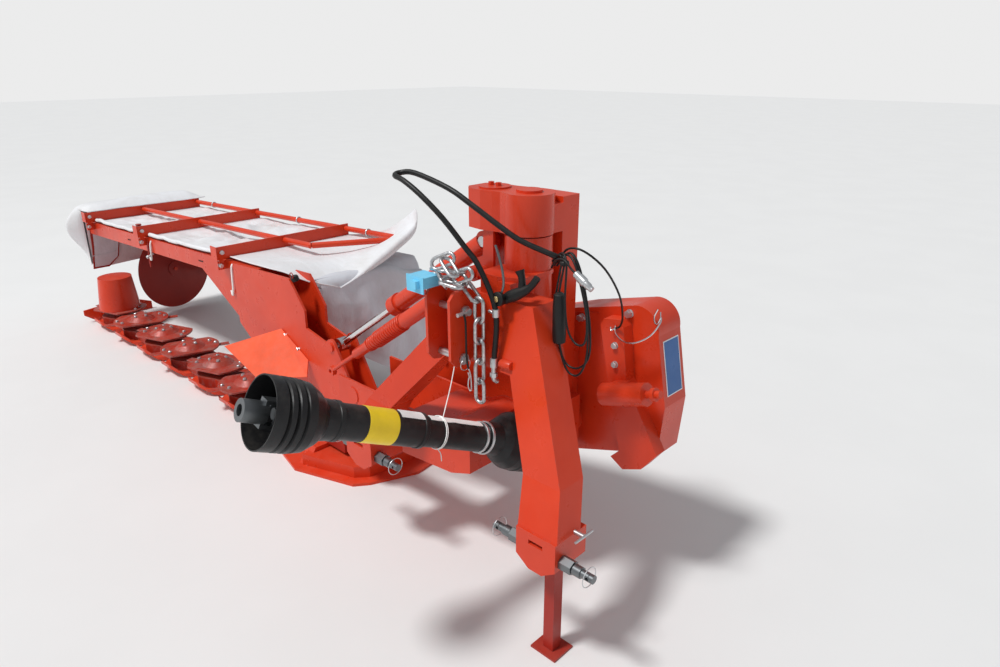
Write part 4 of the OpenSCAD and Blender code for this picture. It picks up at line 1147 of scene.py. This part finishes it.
@dataclass
class Cables:
    """Thin cables that hang in a bundle beside the head, with their quick coupler."""

    radius: float = 0.0036

    def lead(self, name: str, route: Path,
             extras: Sequence[bpy.types.Object] = ()) -> None:
        """Make one cable along its route.

        Args:
            name: the piece's name.
            route: points that it passes.
            extras: pieces that sit on it; not used.
        """
        path = smooth_path(route, 5)
        shape = Shape(name, "headstock")
        shape.tube(path, self.radius, 10)
        cable = shape.done(Finish.RUBBER, ROUND_SHARP_DEG)
        round(length_of(path), 3)
        model_path(path)

    def build(self) -> None:
        """Make the cables, the coupler, the spring clip and the sleeves round the bundle."""
        self.lead("bundle_cable", (
            (-0.276, -0.232, 1.330), (-0.318, -0.214, 1.366), (-0.346, -0.200, 1.352),
            (-0.330, -0.196, 1.230), (-0.338, -0.196, 1.080), (-0.372, -0.198, 0.990),
            (-0.418, -0.202, 0.985), (-0.446, -0.204, 1.060), (-0.438, -0.206, 1.200),
            (-0.400, -0.208, 1.330), (-0.362, -0.214, 1.380), (-0.322, -0.226, 1.362),
            (-0.276, -0.244, 1.328)))
        self.lead("post_cable", (
            (-0.276, -0.256, 1.334), (-0.330, -0.236, 1.386), (-0.390, -0.240, 1.388),
            (-0.438, -0.290, 1.330), (-0.452, -0.360, 1.230), (-0.424, -0.430, 1.130),
            (-0.384, -0.478, 1.072), (-0.350, -0.499, 1.050)))
        coupler = turned("quick_coupler", "headstock", [
            (0.0065, 0), (0.0125, 0.004), (0.0125, 0.020), (0.0150, 0.022), (0.0150, 0.046),
            (0.0118, 0.049), (0.0118, 0.066), (0.0095, 0.070), (0.0095, 0.080)],
            (-0.398, -0.188, 1.330), (-0.068, 0.0, -0.041), 24, Finish.ZINC)
        self.lead("coupler_cable", (
            (-0.276, -0.222, 1.318), (-0.310, -0.204, 1.352), (-0.352, -0.190, 1.362),
            (-0.384, -0.188, 1.339), (-0.398, -0.188, 1.330)), [coupler])
        self.lead("loop_cable", (
            (-0.276, -0.238, 1.322), (-0.312, -0.212, 1.366), (-0.330, -0.206, 1.350),
            (-0.312, -0.203, 1.225), (-0.322, -0.204, 1.117), (-0.350, -0.207, 1.018),
            (-0.401, -0.209, 1.000), (-0.446, -0.211, 1.045), (-0.450, -0.212, 1.133),
            (-0.429, -0.212, 1.245), (-0.392, -0.216, 1.345), (-0.346, -0.226, 1.378),
            (-0.276, -0.250, 1.318)))
        self.lead("short_loop", (
            (-0.276, -0.226, 1.338), (-0.330, -0.206, 1.378), (-0.362, -0.190, 1.350),
            (-0.364, -0.186, 1.233), (-0.380, -0.184, 1.140), (-0.416, -0.184, 1.098),
            (-0.450, -0.185, 1.112), (-0.452, -0.187, 1.190), (-0.422, -0.190, 1.290),
            (-0.384, -0.200, 1.358), (-0.340, -0.214, 1.374), (-0.276, -0.236, 1.340)))
        clip = Shape("spring_clip", "headstock")
        clip.bend([
            (-0.104, -0.004, 0.975), (-0.112, -0.002, 0.968), (-0.118, -0.002, 0.945),
            (-0.119, -0.002, 0.905), (-0.112, -0.002, 0.897), (-0.104, -0.002, 0.912),
            (-0.106, -0.002, 0.935), (-0.110, -0.002, 0.948), (-0.104, -0.002, 0.962)], 4, 0.0021)
        self.lead("clip_cord", (
            (-0.0745, -0.006, 1.168), (-0.084, -0.004, 1.166), (-0.093, -0.004, 1.145),
            (-0.095, -0.004, 1.090), (-0.095, -0.004, 1.035), (-0.099, -0.004, 0.995),
            (-0.104, -0.004, 0.975)), [clip.done(Finish.ZINC)])
        wrap = Shape("cable_sleeve", "headstock")
        wrap.lathe([(0.010, 0), (0.021, 0.006), (0.023, 0.03), (0.022, 0.13), (0.019, 0.168),
                    (0.009, 0.176)], (-0.338, -0.196, 1.075), (0.03, 0, 1), 20)
        wrap.lathe([(0.012, 0), (0.016, 0.004), (0.016, 0.012), (0.012, 0.016)],
                   (-0.346, -0.202, 1.340), (0.2, 0, 1), 20)
        wrap.done(Finish.RUBBER)


@dataclass
class HeadTrim:
    """Latch, loose chain, block on the ears, and the wire clips of the hitch frame's pins."""

    pin_x: float = 0.475
    pin_y: float = 0.032
    pin_z: float = 0.450

    def build(self) -> None:
        """Make the small parts of the hitch frame."""
        self.latch()
        self.chain()
        turned("hose_stub", "headstock",
               [(0.0145, 0), (0.0160, 0.002), (0.0160, 0.046), (0.0140, 0.049)],
               (-0.176, -0.088, 0.990), (-1, 0, 0.05), 24, Finish.RED)
        self.block()
        self.clips()

    def latch(self) -> None:
        """Make the latch lever with its bolt and its rod."""
        lever = Shape("latch_lever", "headstock")
        lever.bend([(-0.150, -0.122, 1.196), (-0.176, -0.126, 1.216), (-0.214, -0.134, 1.236),
                    (-0.252, -0.144, 1.262), (-0.276, -0.152, 1.296)], 5,
                   [0.012 + 0.009 * arch(k / 15) for k in range(21)], 16)
        lever.bend([(-0.222, -0.140, 1.240), (-0.220, -0.140, 1.285), (-0.210, -0.140, 1.312)], 4,
                   [0.016, 0.015, 0.013, 0.012, 0.012, 0.012, 0.013, 0.015, 0.016], 14)
        lever.lathe([(0.022, 0), (0.024, 0.003), (0.024, 0.016), (0.020, 0.019)],
                    (-0.158, -0.105, 1.212), (0, 1, 0.1), 24)
        lever.done(Finish.RUBBER)
        turned("latch_bolt", "headstock",
               [(0.009, 0), (0.010, 0.002), (0.010, 0.005), (0.007, 0.007)],
               (-0.158, -0.086, 1.214), (0, 1, 0.1), 20, Finish.BRASS)
        rod = Shape("latch_rod", "headstock")
        rod.bend([(-0.160, -0.104, 1.224), (-0.172, -0.104, 1.262), (-0.168, -0.104, 1.305),
                  (-0.150, -0.106, 1.352), (-0.132, -0.108, 1.388)], 4, 0.0042, 10)
        rod.done(Finish.DARK_STEEL)

    def chain(self) -> None:
        """Heap the loose end of the tie chain on the ears."""
        heap, half, bow = Shape("chain_heap", "headstock"), 0.024, 0.0195
        for centre, along, across in (
                ((-0.046, 0.010, 1.262), (1, 0.2, 0.1), (0, 1, 0.1)),
                ((0.010, 0.004, 1.268), (0.9, -0.5, 0.25), (0.3, 0.4, 0.9)),
                ((-0.012, -0.026, 1.293), (0.6, 0.8, 0.1), (-0.8, 0.6, 0.2)),
                ((-0.068, -0.020, 1.290), (0.9, 0.1, -0.4), (0.4, 0, 0.9)),
                ((0.044, -0.030, 1.288), (1, 0.1, -0.15), (0, 0.9, 0.3)),
                ((-0.034, 0.006, 1.318), (0.8, -0.2, 0.5), (0.2, 1, 0.1)),
                ((0.016, -0.010, 1.326), (0.8, 0.4, -0.4), (0.3, -0.2, 0.9))):
            u = Vector(along).normalized()
            w = (Vector(across) - u * u.dot(Vector(across))).normalized()
            link = []
            for a in angles(32):
                lean = cos(a)
                straight = copysign(half, lean) if abs(lean) > 1e-6 else 0.0
                link.append(Vector(centre) + u * (straight + bow * lean) + w * bow * sin(a))
            heap.tube(link, 0.0062, 10, closed=True)
        heap.done(Finish.GALVANISED)

    def block(self) -> None:
        """Make the plastic block between the ears."""
        block = Shape("ear_block", "headstock")
        x0, x1, y0, y1 = 0.034, 0.116, -0.010, 0.062
        block.box((x0, x1), (y0, y1), (1.2385, 1.2765))
        block.box((x0 - 0.002, x1 + 0.002), (y1, y1 + 0.004), (1.222, 1.2800))
        block.box((x0 + 0.018, x0 + 0.044), (y1 + 0.003, y1 + 0.020), (1.240, 1.266))
        block.done(Finish.BLUE)

    def clips(self) -> None:
        """Make the wire clips and the sleeves of the pins."""
        clips, sleeves = Shape("pin_clips", "headstock"), Shape("pin_sleeves", "headstock")
        for x, y, z in ((-0.073, -0.020, 0.995), (0.0715, -0.030, 1.165)):
            clips.loop((x - 0.004, y + 0.004, z - 0.016), (0, 0, 0.020), (0, 0.022, 0), 0.0017)
        for side in (-self.pin_x, self.pin_x):
            for way in (-1, 1):
                clips.loop((side + way * 0.191, self.pin_y, self.pin_z), (0, 0.034, 0),
                           (0, 0, 0.034), 0.0016, 30)
                sleeves.lathe([(0.0150, 0), (0.0190, 0.001), (0.0190, 0.030), (0.0150, 0.031)],
                              (side + way * 0.134, self.pin_y, self.pin_z), (way, 0, 0), 24)
        clips.done(Finish.ZINC)
        sleeves.done(Finish.DARK_STEEL)


@dataclass
class HousingTrim:
    """Nuts, wire loop and the blank plate of the belt housing."""

    front_y: float = -0.5549
    cheek_y: float = -0.4999
    seam_y: float = -0.5535
    wall_foot: Point = (-0.540, 0.0, 0.808)
    wall_lean: float = 0.0433 / 0.233

    def build(self) -> None:
        """Make the housing's small parts."""
        nuts = Shape("housing_nuts", "carrier")
        for x, z in ((-0.160, 1.032), (-0.372, 1.098), (-0.492, 0.622)):
            nuts.bolt((x, self.front_y, z), (0, 1, 0), 0.026, 0.9)
        for x, z in ((-0.354, 0.985), (-0.359, 0.912)):
            nuts.bolt((x, self.cheek_y, z), (0, 1, 0), 0.021)
        for x, z in ((0.62, 0.625), (0.30, 0.845)):
            nuts.bolt((x, self.front_y, z), (0, 1, 0), 0.022)
        nuts.done(Finish.ZINC)
        seam = Shape("housing_seam", "carrier")
        seam.bend([(x, self.seam_y, z) for x, z in (
            (-0.235, 1.068), (-0.150, 1.052), (0.0, 0.998), (0.110, 0.958), (0.128, 0.935),
            (0.100, 0.915))], 5, 0.0022)
        seam.done(Finish.RED)
        wire = Shape("tether_wire", "carrier")
        wire.bend([(-0.352, -0.497, 1.060), (-0.368, -0.478, 1.040), (-0.410, -0.468, 1.024),
                   (-0.455, -0.472, 1.030), (-0.500, -0.492, 1.062), (-0.512, -0.530, 1.100),
                   (-0.500, -0.556, 1.112)], 5, 0.0026)
        wire.bend([(-0.500, -0.548, 1.135), (-0.505, -0.540, 1.112), (-0.490, -0.540, 1.090),
                   (-0.478, -0.545, 1.112), (-0.486, -0.552, 1.140)], 5, 0.0026)
        wire.bend([(-0.356, -0.492, 1.058), (-0.346, -0.480, 1.046), (-0.340, -0.486, 1.056)], 4,
                  0.0024)
        wire.done(Finish.CHROME)
        self.wall_plate("blank_plate", -0.5408, (-0.582, -0.676), (0.816, 1.012), Finish.PLATE_BLUE)
        self.wall_plate("plate_border", -0.5404, (-0.578, -0.680), (0.812, 1.016),
                        Finish.PALE_EDGE)

    def wall_plate(self, name: str, x: float, ys: Point, zs: Point, finish: Finish) -> None:
        """Make a thin plate on the end wall, which leans to the right as it rises.

        Args:
            name: the piece's name.
            x: the plate's face at the wall's foot.
            ys: its near and far edge.
            zs: its lower and upper edge.
            finish: its finish.
        """
        plate = Shape(name, "carrier")
        plate.plate([(x, ys[0], zs[0]), (x, ys[1], zs[0]), (x, ys[1], zs[1]), (x, ys[0], zs[1])],
                    (-0.0012, 0, 0))
        foot = hitch(*self.wall_foot)
        for vert in plate.bm.verts:
            vert.co.x += (vert.co.z - foot.z) * self.wall_lean
        plate.done(finish)


@dataclass
class ShaftFrame:
    """Places along the parked drive shaft."""

    joint: Point = (-0.115, -0.250, 0.600)
    yaw_deg: float = -8.6
    pitch_deg: float = 23.9

    def at(self, along: float, side: float = 0.0, up: float = 0.0) -> Vector:
        """Return the point at a distance along, to the side and above the shaft."""
        yaw, pitch = radians(self.yaw_deg), radians(self.pitch_deg)
        level = cos(pitch)
        d = Vector((-sin(yaw) * level, cos(yaw) * level, sin(pitch)))
        s = Vector((cos(yaw), sin(yaw), 0))
        return Vector(self.joint) + d * along + s * side + s.cross(d) * up

    @property
    def axis(self) -> Vector:
        """Direction of the shaft, away from the machine."""
        return self.at(1.0) - self.at(0.0)


@dataclass
class ShaftTrim:
    """Band, clamps, foam strips and twine of the drive shaft's guard."""

    frame: ShaftFrame = field(default_factory=ShaftFrame)
    twine_radius: float = 0.0018
    knot_at: Point = (-0.022, -0.020, 0.995)

    def build(self) -> None:
        """Make the drive shaft's small parts."""
        self.bands()
        self.strip("foam_strip", "shaft_outer", 0.0598, 24, lambda i: (
            0.482 + 0.098 * i / 24, -6, 40))
        self.strip("guard_strip", "shaft_inner", 0.0545, 40, self.torn)
        self.twine()
        self.hanging_twine()

    @staticmethod
    def torn(i: int) -> tuple[float, float, float]:
        """Return the guard strip's place, start and width in degrees at a row."""
        t = 0.222 + 0.232 * i / 40
        return t, -4, 30 + 5 * ripple(t * 10, 0, 0, 3.0)

    def bands(self) -> None:
        """Make the yellow band, the clamps and the collars."""
        f, axis = self.frame, self.frame.axis
        band = Shape("guard_band", "shaft_outer")
        band.hoop(0.0576, [(0.0584, 0), (0.0590, 0.0004), (0.0590, 0.1116), (0.0584, 0.112)],
                  f.at(0.592), axis)
        band.done(Finish.YELLOW)
        clamps = Shape("guard_clamps", "shaft_inner")
        for t, r in ((0.176, 0.0605), (0.2, 0.0575)):
            clamps.hoop(r - 0.005, [(r - 0.001, 0), (r, 0.001), (r, 0.009), (r - 0.001, 0.010)],
                        f.at(t), axis)
        clamps.done(Finish.ZINC)
        collars = Shape("guard_collar", "shaft_outer")
        for t, r in ((0.792, 0.0645), (0.470, 0.0612)):
            collars.hoop(0.0575, [(r - 0.002, 0), (r, 0.002), (r, 0.016), (r - 0.002, 0.018)],
                         f.at(t), axis)
        collars.done(Finish.GUARD)

    def strip(self, name: str, body: str, radius: float, rows: int,
              place: Callable[[int], tuple[float, float, float]]) -> None:
        """Make a thin strip that lies along the guard.

        Args:
            name: the piece's name.
            body: the moving body that it rides on.
            radius: its distance from the shaft's axis.
            rows: steps along the shaft.
            place: gives the place along, the start and the width in degrees at a row.
        """
        grid = []
        for i in range(rows + 1):
            t, start, wide = place(i)
            turn = [radians(start + wide * k / 8) for k in range(9)]
            grid.append([self.frame.at(t, -radius * sin(a), radius * cos(a))
                         for a in turn])
        strip = Shape(name, body)
        strip.skin(grid, 0.002)
        strip.done(Finish.WHITE)

    def twine(self) -> None:
        """Wind the twine round the guard."""
        f, r, twine = self.frame, 0.0565, Shape("twine", "shaft_inner")
        for t in (0.392, 0.398):
            twine.tube([f.at(t + 0.004 * cos(a), r * sin(a), r * cos(a))
                        for a in angles(36)], self.twine_radius, 6, closed=True)
        twine.bend([f.at(0.392, -0.030, -0.050), f.at(0.388, -0.046, -0.060),
                    f.at(0.380, -0.052, -0.082)], 5, self.twine_radius, 6)
        twine.done(Finish.WHITE)

    def hanging_twine(self) -> None:
        """Hang the guard from the pin of the ears with a knotted twine."""
        line = smooth_path([(-0.022, -0.020, 0.979), (-0.027, -0.008, 0.948),
                            (-0.040, 0.022, 0.895), (-0.054, 0.056, 0.846),
                            self.frame.at(0.392, 0.0, 0.0562)], 5)
        hang = Shape("hanging_twine", "headstock")
        hang.tube(line, self.twine_radius, 6)
        twine_piece = hang.done(Finish.WHITE)
        knot = Shape("twine_knot", "headstock")
        knot.loop(self.knot_at, (0, 0.0148, 0), (0.002, 0, 0.0148), self.twine_radius, sides=6)
        knot_piece = knot.done(Finish.WHITE)
        tuple(hitch(*line[0]))
        round(length_of(line), 3)
        model_path(line)


@dataclass(frozen=True)
class Repeat:
    """Copies of one small form at listed places, made by geometry nodes."""

    name: str
    seed: int = 3

    def group(self) -> bpy.types.NodeTree:
        """Build the node group that sets the form on each vertex."""
        tree = bpy.data.node_groups.new(f"{self.name}_nodes", "GeometryNodeTree")
        for name, way, kind in (("Geometry", "INPUT", "Geometry"), ("Form", "INPUT", "Object"),
                                ("Finish", "INPUT", "Material"), ("Seed", "INPUT", "Int"),
                                ("Geometry", "OUTPUT", "Geometry")):
            tree.interface.new_socket(name, in_out=way, socket_type=f"NodeSocket{kind}")
        start, end, form, turn, points, real, paint = (tree.nodes.new(kind) for kind in (
            "NodeGroupInput", "NodeGroupOutput", "GeometryNodeObjectInfo",
            "FunctionNodeRandomValue", "GeometryNodeInstanceOnPoints",
            "GeometryNodeRealizeInstances", "GeometryNodeSetMaterial"))
        turn.data_type = "FLOAT_VECTOR"
        turn.inputs["Max"].default_value = (0.0, 0.0, tau)
        for source, out, target, into in (
                (start, "Geometry", points, "Points"), (start, "Form", form, "Object"),
                (form, "Geometry", points, "Instance"), (start, "Seed", turn, "Seed"),
                (turn, "Value", points, "Rotation"), (points, "Instances", real, "Geometry"),
                (real, "Geometry", paint, "Geometry"), (start, "Finish", paint, "Material"),
                (paint, "Geometry", end, "Geometry")):
            tree.links.new(source.outputs[out], target.inputs[into])
        return tree

    def build(self, form: bpy.types.Object, places: Path, finish: Finish, body: str
              ) -> bpy.types.Object:
        """Set the form on every place and leave a plain mesh.

        Args:
            form: the form, at the origin.
            places: the places, in hitch metres.
            finish: the finish.
            body: the moving body that carries them.

        Returns:
            The piece.
        """
        mesh = bpy.data.meshes.new(f"{self.name}_places")
        mesh.from_pydata([hitch(*p) for p in places], [], [])
        holder = placed(f"{self.name}_holder", mesh)
        modifier = holder.modifiers.new("repeat", "NODES")
        modifier.node_group = self.group()
        wanted = {"Form": form, "Finish": finish.material(), "Seed": self.seed}
        for item in modifier.node_group.interface.items_tree:
            if item.in_out == "INPUT" and item.name in wanted:
                modifier[item.identifier] = wanted[item.name]
        graph = bpy.context.evaluated_depsgraph_get()
        plain = bpy.data.meshes.new_from_object(holder.evaluated_get(graph))
        plain.name = self.name
        bpy.data.objects.remove(holder)
        piece = placed(self.name, plain)
        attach(piece, body)
        LOG.info("%s on %s, %s", self.name, body, finish.value.name)
        return piece


@dataclass
class DiscTrim:
    """Bolt heads on the discs and on the outer hat."""

    pitch: float = 0.404
    outer_x: float = 4.105
    bar_y: float = -0.290
    top_z: float = 0.150
    hub_z: float = 0.1785
    hub_radius: float = 0.048

    def places(self, i: int) -> list[Point]:
        """Return the bolts' places on one disc, counted from the outer end."""
        x = self.outer_x - i * self.pitch
        turn = radians(20 if i % 2 == 0 else 70)
        places = []
        if i:
            places += [(x + self.hub_radius * cos(turn + a),
                        self.bar_y + self.hub_radius * sin(turn + a), self.hub_z)
                       for a in (tau * (k + 0.5) / 4 for k in range(4))]
        c, s = cos(turn), sin(turn)
        for sign in (-1, 1):
            for reach, off in ((0.161, 0.0), (0.128, 0.055)):
                places.append((x + sign * (reach * c - off * s),
                               self.bar_y + sign * (reach * s + off * c), self.top_z))
        return places

    def build(self) -> None:
        """Make the bolts of every rotor."""
        shape = Shape("disc_bolt_form", "cutterbar")
        shape.lathe([(0.0125, 0), (0.0125, 0.002), (0.010, 0.0022)], HITCH_ORIGIN, (0, 0, 1), 20)
        shape.lathe([(0.0098, 0.002), (0.0098, 0.009), (0.0080, 0.0105)], HITCH_ORIGIN, (0, 0, 1),
                    6)
        form = shape.done(Finish.ZINC)
        for i in range(7):
            Repeat(f"disc_bolts_{i + 1}", seed=5 + i).build(form, self.places(i), Finish.ZINC,
                                                            f"rotor_{i + 1}")
        bpy.data.objects.remove(form)


@dataclass
class FrameTrim:
    """Bolts of the fold bracket and the deflector, and the balance spring's coil."""

    bracket_y: float = -0.2345
    spring_top: Point = (0.052, -0.195, 1.240)
    spring_foot: Point = (1.035, -0.195, 0.563)
    coil_span: tuple[float, float] = (0.508, 0.735)
    coil_radius: float = 0.0325
    wire: float = 0.0052
    turns: int = 13
    steps: int = 28

    def build(self) -> None:
        """Make the bolts and the coil."""
        bolts = Shape("bracket_bolts", "cutterbar")
        for x, z in ((1.505, 0.596), (1.392, 0.548)):
            bolts.bolt((x, self.bracket_y, z + 0.012), (0, 1, 0.2), 0.022)
        for x, z in ((1.330, 0.330), (1.360, 0.255), (1.410, 0.190)):
            bolts.bolt((x, self.bracket_y, z), (0, 1, 0), 0.020)
        bolts.done(Finish.ZINC)
        top, foot = Vector(self.spring_top), Vector(self.spring_foot)
        axis, side = (foot - top).normalized(), Vector((0, 1, 0))
        other, (first, last), path = axis.cross(side), self.coil_span, []
        for k in range(self.turns * self.steps + 1):
            a = tau * k / self.steps
            path.append(top + axis * (first + (last - first) * k / (self.turns * self.steps))
                        + (side * cos(a) + other * sin(a)) * self.coil_radius)
        coil = Shape("coil_wire", "spring_body")
        coil.tube(path, self.wire, 8)
        coil.done(Finish.RED, ROUND_SHARP_DEG)


@dataclass
class Studio:
    """Camera, lamps and floor."""

    eye: Point = (-1.722, 1.546, 1.95)
    heading: Point = (0.6884, -0.7254)
    down_deg: float = 20.75
    focal_px: float = 722.0
    floor_size: float = 80.0

    def build(self) -> None:
        """Make camera, floor, world and lamps."""
        self.camera()
        self.floor()
        self.world()
        self.sun("key_sun", (-0.20, -0.55, -1.0), 2.35)
        self.lamp("fill_lamp", (6.5, 5.0, 5.0), 6.0, 60.0, (1.8, -0.4, 0.4))

    def camera(self) -> None:
        """Stand the camera where the photographer stood."""
        data = bpy.data.cameras.new("camera")
        data.sensor_width = 36.0
        data.lens = self.focal_px / 1000.0 * data.sensor_width
        data.clip_end = 200.0
        camera = placed("camera", data)
        down = radians(self.down_deg)
        ahead = Vector((*self.heading, 0.0)) * cos(down)
        look = ahead - Vector((0.0, 0.0, sin(down)))
        camera.location = hitch(*self.eye)
        camera.rotation_mode = "QUATERNION"
        camera.rotation_quaternion = look.to_track_quat("-Z", "Y")
        bpy.context.scene.camera = camera

    def floor(self) -> None:
        """Lay the floor."""
        mesh = bpy.data.meshes.new("floor")
        h = self.floor_size / 2
        mesh.from_pydata([(-h, -h, 0), (h, -h, 0), (h, h, 0), (-h, h, 0)], [], [(0, 1, 2, 3)])
        mesh.materials.append(PaleGround().build())
        placed("floor", mesh)

    def world(self) -> None:
        """Set a plain pale world."""
        world = bpy.data.worlds.new("studio")
        world.use_nodes = True
        tree = world.node_tree
        back, plain = tree.nodes["Background"], tree.nodes.new("ShaderNodeBackground")
        for node, tint, strength in ((back, (0.86, 0.88, 0.92, 1), 0.42),
                                     (plain, (0.93, 0.93, 0.93, 1), 0.90)):
            node.inputs["Color"].default_value = tint
            node.inputs["Strength"].default_value = strength
        path = tree.nodes.new("ShaderNodeLightPath")
        mix = tree.nodes.new("ShaderNodeMixShader")
        tree.links.new(path.outputs["Is Camera Ray"], mix.inputs[0])
        tree.links.new(back.outputs[0], mix.inputs[1])
        tree.links.new(plain.outputs[0], mix.inputs[2])
        tree.links.new(mix.outputs[0], tree.nodes["World Output"].inputs[0])
        bpy.context.scene.world = world

    def sun(self, name: str, toward: Point, strength: float) -> None:
        """Hang a soft sun.

        Args:
            name: the lamp's name.
            toward: the direction in which it shines.
            strength: its strength.
        """
        data = bpy.data.lights.new(name, "SUN")
        data.energy = strength
        data.angle = radians(9)
        sun = placed(name, data)
        sun.rotation_euler = Vector(toward).to_track_quat("-Z", "Y").to_euler()

    def lamp(self, name: str, at: Point, size: float, power: float, aim: Point) -> None:
        """Hang one soft lamp.

        Args:
            name: the lamp's name.
            at: its place round the hitch.
            size: its side length.
            power: its power in watts.
            aim: the point that it faces, round the hitch.
        """
        data = bpy.data.lights.new(name, "AREA")
        data.size = size
        data.energy = power
        lamp = placed(name, data)
        lamp.location = hitch(*at)
        lamp.rotation_euler = (hitch(*aim) - lamp.location).to_track_quat("-Z", "Y").to_euler()


def main() -> None:
    """Build the scene."""
    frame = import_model()
    bpy.context.scene.view_settings.view_transform = "Standard"
    Studio().build()
    dress_nodes(frame["nodes"])
    for part in (RoofCanvas(), OuterDrape(), RearApron(), SideCanvas(), CoverTrim(), HoseLoop(),
                 Cables(), HeadTrim(), HousingTrim(), ShaftTrim(), DiscTrim(), FrameTrim()):
        LOG.info("building %s", type(part).__name__)
        part.build()


if __name__ == "__main__":
    logging.basicConfig(level=logging.INFO)
    main()
